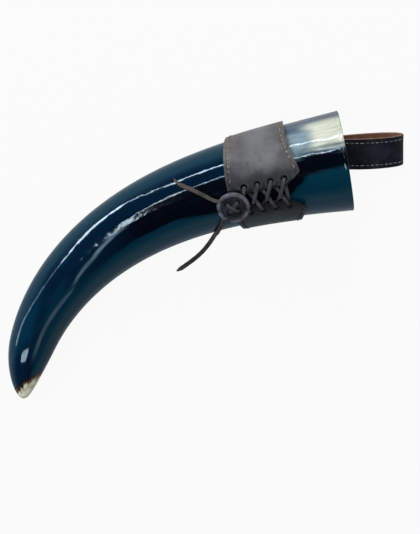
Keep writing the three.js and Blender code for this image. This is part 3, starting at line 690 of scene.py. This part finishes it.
def punch_holes(sheet, places, radius, sides):
    """Punches round holes straight through a flat piece."""
    for x, y in places:
        punch = new_piece("punch", bpy.ops.mesh.primitive_cylinder_add, vertices=sides, radius=radius,
                          depth=PUNCH_LENGTH, location=(x, y, 0))
        cut = sheet.modifiers.new("hole", "BOOLEAN")
        cut.object = punch
        cut.solver = "EXACT"
        bpy.context.view_layer.objects.active = sheet
        bpy.ops.object.modifier_apply(modifier="hole")
        bpy.data.objects.remove(punch)


def pulled(arc, distance, height):
    """Where a point of the flat sheet goes: round the horn, with its edges drawn in by the lacing."""
    turn = arc / wrap_girth
    side = 1 if turn < pi else -1
    from_gap = (folded(turn) - gap_turn) * wrap_girth
    phase = (distance - FIRST_HOLE) / HOLE_PITCH
    scallop = SCALLOP * (0.5 - 0.5 * cos(2 * pi * phase)) * exp(-(from_gap / SCALLOP_WIDTH) ** 2)
    turn += side * scallop / wrap_girth
    dent = 0
    for hole, place in holes:
        away = sqrt((distance - hole) ** 2 + ((turn - place) * wrap_girth) ** 2) / HOLE_RADIUS
        dent += HOLE_SWELL * exp(-((away - 1.5) / 0.55) ** 2) - HOLE_DENT * exp(-(away / 1.1) ** 2)
    waves = HIDE_WAVES * max(noise.noise(Vector((70 * arc, 55 * distance, 3))), 0)
    waves *= 0.25 + 0.75 * rise(from_gap, 0.012, 0.03)
    crease = 0
    if height > WRAP_LEATHER / 2:
        from_row = min(distance - mouth_edge(turn), tip_edge(turn) - distance) - STITCH_MARGIN
        crease = STITCH_CREASE * exp(-(from_row / CREASE_WIDTH) ** 2)
        crease *= rise(folded(turn), ear_turn - radians(2), ear_turn + radians(2))
    return on_wrap(distance, turn, height + max(dent, -DEEPEST_DENT) + waves - crease)


def waxed_hide():
    """Brown waxed hide with pores and creases, a painted sheen across its middle, and painted shade in its
    creases, on the lower flap and toward the lacing, near black by it.
    """
    brown_dark, brown_light = (0.062, 0.057, 0.056), (0.1, 0.094, 0.093)
    sheen_brown = (0.14, 0.134, 0.133)
    flap_shade_dark, flap_shade_light = (0.002, 0.0085, 0.0125), (0.007, 0.0185, 0.025)
    lacing_shade_colour, black, crease_shade = (0.024, 0.024, 0.031), (0.0065, 0.006, 0.0075), (0.012, 0.009, 0.009)
    flesh_brown, flesh_grey = (0.07, 0.04, 0.028), (0.03, 0.027, 0.027)
    material, shader, blank = finish_of("waxed_hide", 0.22)
    arc, distance, height = blank.parts()
    pores = blank.speckle(1500, 3, 0.6)
    cells = blank.node("TexVoronoi", {"feature": "DISTANCE_TO_EDGE"}, {"Vector": blank, "Scale": 1100})
    creases = blank.scaled(1, 2.2, 1).speckle(95, 5, 0.65, 0.6)
    clouds = blank.speckle(60, 3)
    # Painted sheen: a paler band across the middle of the wrap.
    sheen_band = distance + (clouds - 0.5) * 0.012
    sheen_band = sheen_band.between(0.043, 0.056) * sheen_band.between(0.072, 0.06)
    colour = clouds.between(0.3, 0.7).mix(brown_dark, brown_light)
    colour = (sheen_band * 0.8).mix(colour, sheen_brown)
    whole_arc = 2 * pi * wrap_girth
    laced = arc.math("MINIMUM", whole_arc - arc)
    # Painted shade: the lower flap, turned away from the light, is painted dark slate.
    low_flap = arc.between(whole_arc - 0.05, whole_arc - 0.03)
    # Painted shade: the hide darkens unevenly toward the laced gap.
    lacing_shade = laced.between(0.045, 0.02) * (0.25 + clouds.between(0.62, 0.4) * 0.6)
    colour = lacing_shade.mix(colour, lacing_shade_colour)
    colour = (low_flap * 0.9).mix(colour, clouds.between(0.3, 0.7).mix(flap_shade_dark, flap_shade_light))
    # Painted shade: near black beside the laced gap.
    colour = laced.between(0.024, 0.01).mix(colour, black)
    # Painted shade in the creases.
    colour = (creases.between(0.56, 0.72) * 0.5).mix(colour, crease_shade)
    flesh = height.between(0.75 * WRAP_LEATHER, 0.45 * WRAP_LEATHER)
    colour = flesh.mix(colour, laced.between(0.05, 0.02).mix(flesh_brown, flesh_grey))
    relief = cells.between(0, 0.25) * 0.35 + pores * 0.4 - creases * 0.8
    paint(shader, colour, 0.27 + pores * 0.14 + flesh * 0.35, relief, strength=0.4, depth=0.0003)
    return material


wrap = cut_sheet("wrap_hide", gap_turn, 0, WRAP_LEATHER, columns=280, rows=64)
punch_holes(wrap, [(turn * wrap_girth, distance) for distance, turn in holes], HOLE_RADIUS, HOLE_SIDES)
lay(wrap, pulled)
wrap.data.materials.append(waxed_hide())
smooth_shading(wrap)
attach(wrap, "holder")
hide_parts("wrap_leather")


# Edge sewing of the wrap: two rows of waxed tan thread through leather and lining, in a creased line
# beside the mouth edge and the tip edge. Every stitch dips into the leather at both ends.
STITCH_PITCH = 0.0036
STITCH_LENGTH = 0.0029
STITCH_RISE = 0.0006
STITCH_SINK = 0.00055
STITCH_RINGS = 9
STITCH_SIDES = 8
STITCH_END = 0.25
THREAD_RADIUS = 0.00042
# Length at the end of the mouth and tip rows, on the lower flap, that is darkened as painted shade.
SHADED_STRETCH = 0.045


def stitch_row(name, length, place):
    """One stitch, repeated along a row and laid on the leather."""
    row = new_piece(name, bpy.ops.mesh.primitive_circle_add, vertices=STITCH_SIDES,
                    radius=STITCH_END * THREAD_RADIUS, fill_type="NGON")
    bpy.ops.object.mode_set(mode="EDIT")
    arch = [sin(pi * i / STITCH_RINGS) for i in range(STITCH_RINGS + 1)]
    swell = [STITCH_END + (1 - STITCH_END) * sqrt(height) for height in arch]
    lift = [STITCH_RISE * height**0.7 for height in arch]
    for i in range(STITCH_RINGS):
        step = (0, lift[i + 1] - lift[i], STITCH_LENGTH / STITCH_RINGS)
        bpy.ops.mesh.extrude_region_move(TRANSFORM_OT_translate={"value": step})
        bpy.ops.transform.resize(value=(swell[i + 1] / swell[i], swell[i + 1] / swell[i], 1))
    face_outward()
    count = round(length / STITCH_PITCH)
    repeat = row.modifiers.new("row", "ARRAY")
    repeat.count = count
    repeat.use_relative_offset = False
    repeat.use_constant_offset = True
    repeat.constant_offset_displace = (0, 0, length / count)
    bpy.ops.object.modifier_apply(modifier="row")
    lay(row, place)
    smooth_shading(row, 60)
    return row


def waxed_thread(name, dark, light, rubbed, shaded_from):
    """Twisted thread: slanting plies, soiled in places and rubbed in others, with painted shade between
    the plies and from a given run on.
    """
    thread_shade = (0.01, 0.009, 0.009)
    material, shader, blank = finish_of(name)
    across, _, run = blank.parts()
    twist = run * 9000 + across * 6000
    plies = twist.math("SINE") * 0.5 + 0.5
    soil = blank.scaled(60, 60, 260).speckle(1, 2)
    worn = blank.scaled(1, 1, 70).speckle(1, 2).between(0.48, 0.6) * 0.5
    worn = worn + run.between(0.036, 0.018) * 0.5
    # Painted shade: the grooves between the plies are darker.
    colour = (soil.between(0.35, 0.6) * (plies * 0.4 + 0.6)).mix(dark, worn.mix(light, rubbed))
    # Painted shade: from this run on, the row lies on the shaded lower flap and is darkened with it.
    colour = run.between(shaded_from, shaded_from + 0.015).mix(colour, thread_shade)
    paint(shader, colour, plies * 0.1 + 0.6, plies, strength=0.5, depth=0.0002)
    return material


first_stitch_turn = ear_turn + STITCH_PITCH / 2 / wrap_girth
edge_row_length = (2 * pi - 2 * first_stitch_turn) * wrap_girth
tan_thread = waxed_thread("tan_thread", (0.09, 0.04, 0.018), (0.34, 0.17, 0.075), (0.5, 0.42, 0.31),
                          edge_row_length - SHADED_STRETCH)
for edge_name, edge_share in (("mouth", 0), ("tip", 1)):
    def on_edge(across, up, run, share=edge_share):
        turn = first_stitch_turn + run / wrap_girth
        distance = (tip_edge(turn) - STITCH_MARGIN if share else mouth_edge(turn) + STITCH_MARGIN) + across
        return on_wrap(distance, turn, WRAP_LEATHER - STITCH_SINK + up)

    edge_row = stitch_row(f"{edge_name}_edge_thread", edge_row_length, on_edge)
    edge_row.data.materials.append(tan_thread)
    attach(edge_row, "holder")
    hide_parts(f"wrap_{edge_name}_stitching")


# Lacing: the same leather thong. It starts as a bar behind the first pair of holes, comes out of every
# hole and crosses over the gap to the next pair, and both ends go on to the disc.
DISC_RADIUS = 0.0115
DISC_PLACE = 0.085
DISC_ARC = -0.0005
DISC_DIP = radians(6)
DISC_HOLE_SPREAD = 0.0036
lace_under = FIT + THONG_THICKNESS / 2
lace_over = flap_base + WRAP_LEATHER + FIT + THONG_THICKNESS / 2
lace_between = (lace_under + lace_over) / 2
lace_below = -2 * FIT - THONG_THICKNESS / 2
lace_meet = DISC_HOLE_SPREAD + THONG_WIDTH
disc_turn = DISC_ARC / wrap_girth - CLOSURE_TILT
disc_off = (around(DISC_PLACE, disc_turn, 1) - middle(DISC_PLACE)).normalized()
disc_across = tipward(DISC_PLACE).cross(disc_off)
disc_height = lace_over + THONG_THICKNESS / 2 + FIT + sin(DISC_DIP) * DISC_RADIUS / 2
disc_lie = Matrix.Translation(around(DISC_PLACE, disc_turn, taper(DISC_PLACE) + disc_height))
disc_lie = disc_lie @ turned_to(disc_across, tipward(DISC_PLACE), disc_off)
disc_lie = disc_lie @ Matrix.Rotation(-DISC_DIP, 4, "X")


def lace_point(distance, arc, height):
    return around(distance, arc / wrap_girth - CLOSURE_TILT, taper(distance) + height)


def half_lacing(side):
    """The route of one end, from the first bar to under the disc."""
    bend, edge = THONG_THICKNESS, LACED_GAP / 2
    points = []
    for pair in range(HOLE_PAIRS):
        hole = FIRST_HOLE + pair * HOLE_PITCH
        slant = HOLE_PITCH * bend / (2 * HOLE_ROW_ARC) if pair else 0
        points.append(lace_point(hole - 2 * slant, side * (HOLE_ROW_ARC - 2 * bend), lace_under))
        points.append(lace_point(hole - slant, side * (HOLE_ROW_ARC - bend), lace_under))
        points.append(lace_point(hole, side * (HOLE_ROW_ARC + bend / 4), lace_between))
        if pair + 1 < HOLE_PAIRS:
            high = side > 0
            strand = (
                (HOLE_ROW_ARC - bend, lace_over),
                (edge + bend / 4, lace_over),
                (edge - bend / 2, lace_over if high else lace_over - FIT),
                (edge / 2, lace_over if high else lace_between),
                (0, lace_over if high else lace_under + 2 * FIT),
                (-edge / 2, lace_over - FIT if high else lace_under + FIT),
                (-edge + bend / 4, lace_under),
            )
            for arc, height in strand:
                reached = hole + HOLE_PITCH * (HOLE_ROW_ARC - arc) / (2 * HOLE_ROW_ARC)
                points.append(lace_point(reached, side * arc, height))
        else:
            points.append(lace_point(hole + bend / 2, side * (HOLE_ROW_ARC - bend), lace_over))
            beside = DISC_HOLE_SPREAD + bend
            points.append(disc_lie @ Vector((side * (beside + bend), -lace_meet - 2 * bend, lace_below)))
            points.append(disc_lie @ Vector((side * beside, -lace_meet, lace_below)))
        side = -side
    return points


lace_route = [*reversed(half_lacing(-1)), lace_point(FIRST_HOLE, 0, lace_under), *half_lacing(1)]
lacing = thong("criss_cross_lace", smooth_route(lace_route, steps=4), tipward(FIRST_HOLE))
soiled_lace = thong_leather("soiled_lace", (0.014, 0.0137, 0.0145), (0.07, 0.068, 0.07))
lacing.data.materials.append(soiled_lace)
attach(lacing, "holder")
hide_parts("lacing")


# Disc: a round of thick dark leather with a pressed face inside a raised rim, and four punched holes. It
# holds the crossing lace ends tight.
DISC_THICKNESS = 0.003
DISC_RIM = 0.0028
DISC_SINK = 0.0005
DISC_EDGE = 0.0008
DISC_EDGE_STEPS = 4
DISC_CUP = 0.0002
RIM_CROWN = 0.0001
FACE_RINGS = (0.0015, 0.002)
DISC_SIDES = 72
DISC_HOLE_RADIUS = 0.002
DISC_HOLE_SIDES = 24


def pressed_disc():
    """The disc, drawn up step by step from its back: round its edge, over the rim and onto the face."""
    radius = DISC_RADIUS - DISC_EDGE
    disc = new_piece("laced_disc", bpy.ops.mesh.primitive_circle_add, vertices=DISC_SIDES, radius=radius,
                     fill_type="NGON")
    bpy.ops.object.mode_set(mode="EDIT")
    swings = [radians(90 * i / DISC_EDGE_STEPS) for i in range(DISC_EDGE_STEPS + 1)]
    rounding = [
        (DISC_EDGE * (cos(a) - cos(b)), DISC_EDGE * (sin(b) - sin(a))) for a, b in zip(swings, swings[1:])]
    steps = [*rounding, (DISC_THICKNESS - 2 * DISC_EDGE, 0)]
    steps += [(up, -out) for up, out in reversed(rounding)]
    steps += [(RIM_CROWN, -0.3 * DISC_RIM), (0, -0.3 * DISC_RIM)]
    steps += [(-0.4 * DISC_SINK, -0.28 * DISC_RIM), (-0.7 * DISC_SINK, -0.1 * DISC_RIM)]
    steps += [(0, -width) for width in FACE_RINGS]
    for up, out in steps:
        bpy.ops.mesh.extrude_region_move(TRANSFORM_OT_translate={"value": (0, 0, up)})
        bpy.ops.transform.resize(value=((radius + out) / radius, (radius + out) / radius, 1))
        radius += out
    face_outward()
    sides = (-DISC_HOLE_SPREAD, DISC_HOLE_SPREAD)
    punch_holes(disc, [(x, y) for x in sides for y in sides], DISC_HOLE_RADIUS, DISC_HOLE_SIDES)
    return disc


def disc_leather():
    """Black-brown dyed leather with fine pores, its rim paler, partly rubbed and partly a painted
    highlight.
    """
    dark, light, rubbed = (0.006, 0.0075, 0.011), (0.021, 0.024, 0.03), (0.125, 0.125, 0.138)
    material, shader, blank = finish_of("disc_hide", 0.12)
    x, y, up = blank.parts()
    radius = (x * x + y * y).math("SQRT")
    pores = blank.speckle(1700, 3, 0.6)
    clouds = blank.speckle(230, 3)
    colour = clouds.between(0.35, 0.65).mix(dark, light)
    # The paler rim is partly rubbed leather and partly a painted highlight on the raised edge.
    rim_wear_and_highlight = radius.between(DISC_RADIUS - 1.1 * DISC_RIM, DISC_RADIUS - 0.6 * DISC_RIM)
    rim_wear_and_highlight = rim_wear_and_highlight * up.between(0.4 * DISC_THICKNESS, 0.9 * DISC_THICKNESS)
    colour = (rim_wear_and_highlight * clouds.between(0.3, 0.6) * (pores * 0.5 + 0.6)).mix(colour, rubbed)
    paint(shader, colour, 0.34 + pores * 0.2, pores + clouds * 0.8, strength=0.4, depth=0.0003)
    return material


def domed(x, y, up):
    """Lays the disc in its place, slightly cupped and not quite flat."""
    cup = DISC_CUP * cos(2 * atan2(y, x) + 0.6) * (x * x + y * y) / DISC_RADIUS**2
    return disc_lie @ Vector((x, y, up + cup))


disc = pressed_disc()
lay(disc, domed)
disc.data.materials.append(disc_leather())
smooth_shading(disc)
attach(disc, "button")
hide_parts("lace_button")


# Laces of the disc: each end of the thong comes up through a hole, slants over the face and goes down
# through the opposite hole. The two cross, one over the other.
def disc_lace(name, side, lift):
    """One of the two stretches, from under the disc over its face and back."""
    hole = DISC_HOLE_SPREAD
    face = DISC_THICKNESS - DISC_SINK + FIT + THONG_THICKNESS / 2
    inside, turn, end = (hole + part * THONG_THICKNESS for part in (-1, 0.5, 1))
    route = (
        (side * end, 2 * FIT - lace_meet, lace_below),
        (side * turn, -turn, lace_below),
        (side * hole, -hole, DISC_THICKNESS * 0.3),
        (side * hole, -hole, DISC_THICKNESS * 0.7),
        (side * inside, -inside, face + lift / 2),
        (0, 0, face + lift),
        (-side * inside, inside, face + lift / 2),
        (-side * hole, hole, DISC_THICKNESS * 0.7),
        (-side * hole, hole, DISC_THICKNESS * 0.3),
        (-side * turn, turn, lace_below),
        (-side * end, lace_meet, lace_below),
    )
    line = smooth_route([disc_lie @ Vector(point) for point in route], steps=5)
    width_way = disc_lie.to_3x3() @ Vector((side, 1, 0)).normalized()
    return thong(name, line, width_way)


for lace_name, lace_node, lace_side, lace_lift in (
        ("disc_lace_below", "button_lace_under", 1, 0),
        ("disc_lace_above", "button_lace_over", -1, THONG_THICKNESS + FIT)):
    crossing = disc_lace(lace_name, lace_side, lace_lift)
    crossing.data.materials.append(soiled_lace)
    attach(crossing, "button")
    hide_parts(lace_node)


# Belt strap: one strip of dark leather. Both ends are sewn on the back of the wrap, one on the other, and
# between them it makes the loop past the mouth, which bends where it leaves the wrap.
STRAP_WIDTH = 0.023
STRAP_LEATHER = 0.0012
STRAP_LINING = 0.0009
STRAP_TILT = radians(24)
STRAP_SKEW = radians(11)
TAB_LENGTH = 0.030
LOOP_REACH = 0.0854
LOOP_SAG = 0.006
LOOP_BELLY = 0.008
SEAT_GAP = 0.00062
STRAP_CREASE = 0.00035
STRAP_WAVES = 0.00012
STRAP_COLUMNS = 240
STRAP_ROWS = 46
BEND_START = -0.003
BEND_END = 0.014
strap_turn = pi - STRAP_TILT


def strap_seat(distance):
    return around(distance, strap_turn, taper(distance) + sleeve_base + WRAP_LEATHER + SEAT_GAP)


strap_along = (strap_seat(WRAP_MOUTH_EDGE) - strap_seat(WRAP_TIP_EDGE)).normalized()
strap_off = around(WRAP_MOUTH_EDGE, strap_turn, 1) - middle(WRAP_MOUTH_EDGE)
strap_across = strap_off.cross(strap_along).normalized()
strap_lie = Matrix.Translation(strap_seat(WRAP_MOUTH_EDGE))
strap_lie = strap_lie @ turned_to(strap_along, strap_across, strap_along.cross(strap_across))
strap_lie = strap_lie @ Matrix.Rotation(STRAP_SKEW, 4, "Z")
ply = STRAP_LEATHER + FIT / 2
inner_seam = ply
outer_seam = 2 * (STRAP_LEATHER + FIT + STRAP_LINING) + FIT - ply
loop_middle = outer_seam + LOOP_BELLY - inner_seam
strap_seam = smooth_route([(LOOP_REACH * along, 0, height) for along, height in (
    (-TAB_LENGTH / LOOP_REACH, inner_seam),
    (-0.5 * TAB_LENGTH / LOOP_REACH, inner_seam),
    (0, inner_seam),
    (0.2, inner_seam - LOOP_SAG * 0.14),
    (0.45, inner_seam - LOOP_SAG * 0.46),
    (0.7, inner_seam - LOOP_SAG),
    (0.88, inner_seam - LOOP_SAG * 0.7),
    (0.97, inner_seam - LOOP_SAG * 0.1),
    (1, inner_seam + loop_middle * 0.4),
    (0.97, inner_seam + loop_middle * 0.75),
    (0.88, outer_seam + LOOP_BELLY * 0.95),
    (0.7, outer_seam + LOOP_BELLY),
    (0.45, outer_seam + LOOP_BELLY * 0.7),
    (0.2, outer_seam + LOOP_BELLY * 0.25),
    (0, outer_seam),
    (-0.5 * TAB_LENGTH / LOOP_REACH, outer_seam),
    (-TAB_LENGTH / LOOP_REACH, outer_seam),
)], steps=12)
strap_runs = runs_of(strap_seam)
strap_length = strap_runs[-1]


def on_strap(run, across, off):
    """A point beside the seam between leather and lining: off is toward the outside of the loop."""
    i = min(max(bisect_left(strap_runs, run), 1), len(strap_runs) - 1)
    near, far = strap_seam[i - 1], strap_seam[i]
    point = near.lerp(far, (run - strap_runs[i - 1]) / (strap_runs[i] - strap_runs[i - 1]))
    share = (point - near).length / (far - near).length
    tangent = tangent_of(strap_seam, i - 1).lerp(tangent_of(strap_seam, i), share)
    outside = Vector((tangent.z, 0, -tangent.x)).normalized()
    return strap_lie @ (point + Vector((0, -across, 0)) + off * outside)


def cut_strip(name, thickness, inward):
    """A straight strip with eased edges, on the outer or the inner side of the seam."""
    piece = new_piece(name, bpy.ops.mesh.primitive_grid_add, x_subdivisions=STRAP_COLUMNS,
                      y_subdivisions=STRAP_ROWS, size=1)
    bpy.ops.object.mode_set(mode="EDIT")
    bpy.ops.transform.translate(value=(0.5, 0, 0))
    bpy.ops.transform.resize(value=(strap_length, STRAP_WIDTH, 1), center_override=(0, 0, 0))
    bpy.ops.object.mode_set(mode="OBJECT")
    thicken(piece, thickness, -1 if inward else 1)
    return piece


def bend_loop(piece):
    """Bakes a piece of the strap into its mesh. The points where the loop would turn, from where it leaves
    the wrap, are worked out and not used.
    """
    bend_start, bend_end = (strap_lie @ Vector((place, 0, 0)) for place in (BEND_START, BEND_END))
    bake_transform(piece)
    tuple(bend_start)
    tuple(bend_end)


def sewn_strap(run, across, off):
    """The outside of the strap is drawn down along both rows of stitches."""
    if off > ply / 2:
        from_row = abs(across) - (STRAP_WIDTH / 2 - STITCH_MARGIN)
        off -= STRAP_CREASE * exp(-(from_row / CREASE_WIDTH) ** 2)
        off += STRAP_WAVES * noise.noise(Vector((90 * run, 120 * across, 7)))
    return on_strap(run, across, off)


def dyed_strap_leather():
    """Blue-black dyed leather, cracked a little where it folds, with a pale raw cut edge."""
    dark, light, cracked = (0.0065, 0.0075, 0.012), (0.016, 0.018, 0.027), (0.035, 0.035, 0.042)
    raw_dark, raw_light = (0.2, 0.11, 0.085), (0.36, 0.235, 0.195)
    material, shader, blank = finish_of("dyed_strap_leather", 0.15)
    off = blank.parts()[2]
    pores = blank.speckle(1500, 3, 0.6)
    clouds = blank.speckle(90, 3)
    creases = blank.scaled(2.4, 1, 1).speckle(150, 4, 0.6, 0.5)
    colour = clouds.between(0.35, 0.68).mix(dark, light)
    colour = (creases.between(0.58, 0.74) * 0.5).mix(colour, cracked)
    raw = off.between(0.8 * ply, 0.55 * ply)
    colour = raw.mix(colour, pores.between(0.3, 0.7).mix(raw_dark, raw_light))
    rough = 0.42 + pores * 0.22 + raw * 0.25
    paint(shader, colour, rough, pores * 0.6 - creases * 0.7, strength=0.4, depth=0.0003)
    return material


strap = cut_strip("belt_strap", ply, False)
lay(strap, sewn_strap)
strap.data.materials.append(dyed_strap_leather())
smooth_shading(strap)
bend_loop(strap)
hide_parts("strap_inner_tab", "strap_outer_tab", "belt_loop")


# Lining of the belt strap: the same tan split leather as in the wrap, glued to the inside of the strip
# before it was folded and sewn.
strap_lining = cut_strip("belt_strap_lining", STRAP_LINING + FIT / 2, True)
lay(strap_lining, on_strap)
strap_lining.data.materials.append(tan_leather)
smooth_shading(strap_lining)
bend_loop(strap_lining)
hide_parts("strap_inner_tab_lining", "strap_outer_tab_lining", "belt_loop_lining")


# Sewing of the belt strap: pale waxed thread in two rows. On the loop it joins leather and lining, on the
# tabs it also sews the strap to the wrap.
STRAP_STITCH_SINK = 0.0005
pale_thread = waxed_thread(
    "pale_thread", (0.04, 0.04, 0.042), (0.22, 0.21, 0.2), (0.3, 0.27, 0.23), strap_length)
for row_name, row_start, row_end in (
        ("loop", TAB_LENGTH, strap_length - TAB_LENGTH), ("tab", strap_length - TAB_LENGTH, strap_length)):
    for side_name, side in (("upper", -1), ("lower", 1)):
        def on_row(across, up, run, start=row_start, side=side):
            row = side * (STRAP_WIDTH / 2 - STITCH_MARGIN)
            return on_strap(start + STITCH_PITCH / 2 + run, row + across, ply - STRAP_STITCH_SINK + up)

        row_length = row_end - row_start - STITCH_PITCH
        strap_row = stitch_row(f"{row_name}_{side_name}_thread", row_length, on_row)
        strap_row.data.materials.append(pale_thread)
        if row_name == "loop":
            bend_loop(strap_row)
        else:
            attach(strap_row, "holder")
        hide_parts(f"{row_name}_{side_name}_stitching")


# Floor and light: a white table, a large soft lamp over the top of the picture with a weak one to fill,
# and a dim room with two bright window bars and a pane, which draw the streaks and the small light at the
# tip of the polished horn.
FLOOR_SIZE = 6
FLOOR_DROP = 0.0002
FLOOR_GREY = 0.45
FLOOR_WHITE = 0.93
FLOOR_MIRRORED = 0.1
ROOM_COLOUR = (0.86, 0.94, 1)
ROOM_OVERHEAD = 0.05
ROOM_SIDES = 0.6
FAR_BAR_DIM = 8
FAR_BAR_BRIGHT = 37
NEAR_BAR_BRIGHT = 42
PANE_BRIGHT = 18


def table_top():
    """Matt grey to the light, white to the camera, and dim where the horn mirrors it."""
    material = bpy.data.materials.new("table_top")
    material.use_nodes = True
    tree = material.node_tree
    tree.nodes.clear()
    start = Shade(tree)
    seen, mirrored, through = (
        start.node("LightPath", output=f"Is {kind} Ray") for kind in ("Camera", "Glossy", "Transmission"))
    matt = start.node("BsdfDiffuse", (), {"Color": (FLOOR_GREY, FLOOR_GREY, FLOOR_GREY, 1)})
    glow = start.node("Emission", (), {"Color": (1, 1, 1, 1), "Strength": 1})
    lit = seen * FLOOR_WHITE + (mirrored + through) * FLOOR_MIRRORED
    mixed = start.node("MixShader", (), {0: lit, 1: matt, 2: glow})
    start.node("OutputMaterial", (), {0: mixed})
    return material


floor = new_piece(
    "table", bpy.ops.mesh.primitive_plane_add, size=FLOOR_SIZE, location=(0, 0, -FLOOR_DROP))
floor.data.materials.append(table_top())


def lamp(name, right, up, near, size, power, colour):
    """A soft square lamp, placed from the middle of the picture and facing it, that nothing mirrors."""
    light = bpy.data.lights.new(name, "AREA")
    light.size = size
    light.energy = power
    light.color = colour
    made = bpy.data.objects.new(name, light)
    made.location = looked_at + right * camera_right + up * camera_up + near * toward_camera
    made.rotation_mode = "QUATERNION"
    made.rotation_quaternion = (made.location - looked_at).to_track_quat("Z", "Y")
    made.visible_glossy = False
    bpy.context.scene.collection.objects.link(made)


lamp("soft_lamp", right=-0.1, up=0.75, near=1, size=0.7, power=6.5, colour=(1, 1, 1))
lamp("fill_lamp", right=0.6, up=-0.5, near=1.1, size=0.9, power=2.2, colour=(0.9, 0.95, 1))


def room():
    """A dim blue-grey room, darker overhead. A curved bar of window light stands far over the top of the
    picture, a second one nearer, and a small pane below the middle. Bearings are in degrees."""
    world = bpy.data.worlds.new("room")
    world.use_nodes = True
    tree = world.node_tree
    start = Shade(tree)
    way = start.node("TexCoord", output="Generated")

    def part(axis):
        return start.node("VectorMath", {"operation": "DOT_PRODUCT"}, {0: way, 1: axis}, "Value")

    forward, upward, rightward = part(toward_camera), part(camera_up), part(camera_right)
    off_axis = forward.math("ARCCOSINE") * degrees(1)
    bearing = upward.math("ARCTAN2", rightward) * degrees(1)
    place = 57.5 + bearing.between(123, 131) * 16 - bearing.between(136, 154) * 13
    far = off_axis - (place + bearing.between(162, 170) * 20)
    wide = 1.1 + bearing.between(129, 134) * bearing.between(150, 145) * 1.5
    wide = wide + bearing.between(158, 168) * 3
    far_bar = (far.math("ABSOLUTE") / wide).between(1.5, 0.8) * bearing.between(85, 100)
    far_bar = far_bar * (FAR_BAR_DIM + bearing.between(156, 148) * FAR_BAR_BRIGHT)
    across, along = rightward / forward, upward / forward
    beyond = (along - 0.22).math("MAXIMUM", 0)
    near = across + 0.3 + along * 0.65 - along * along * 0.234 - beyond * 1.2
    near_bar = near.math("ABSOLUTE").between(0.02, 0.011) * forward.between(0.4, 0.5)
    near_bar = near_bar * along.between(0.5, 0.42) * along.between(-0.05, 0.03) * NEAR_BAR_BRIGHT
    pane = across.between(-0.85, -0.8) * across.between(-0.17, -0.2) * along.between(-0.52, -0.49)
    pane = pane * along.between(-0.3, -0.33) * forward.between(0.4, 0.5) * PANE_BRIGHT
    glow = ROOM_OVERHEAD + off_axis.between(60, 95) * ROOM_SIDES
    seen = start.node("LightPath", output="Is Camera Ray")
    bright = (glow + far_bar + near_bar + pane) * (1 - seen) + seen
    background = tree.nodes["Background"]
    tree.links.new(seen.mix(ROOM_COLOUR, (1, 1, 1)).socket, background.inputs["Color"])
    tree.links.new(bright.socket, background.inputs["Strength"])
    return world


bpy.context.scene.world = room()
bpy.context.scene.view_settings.view_transform = "Standard"
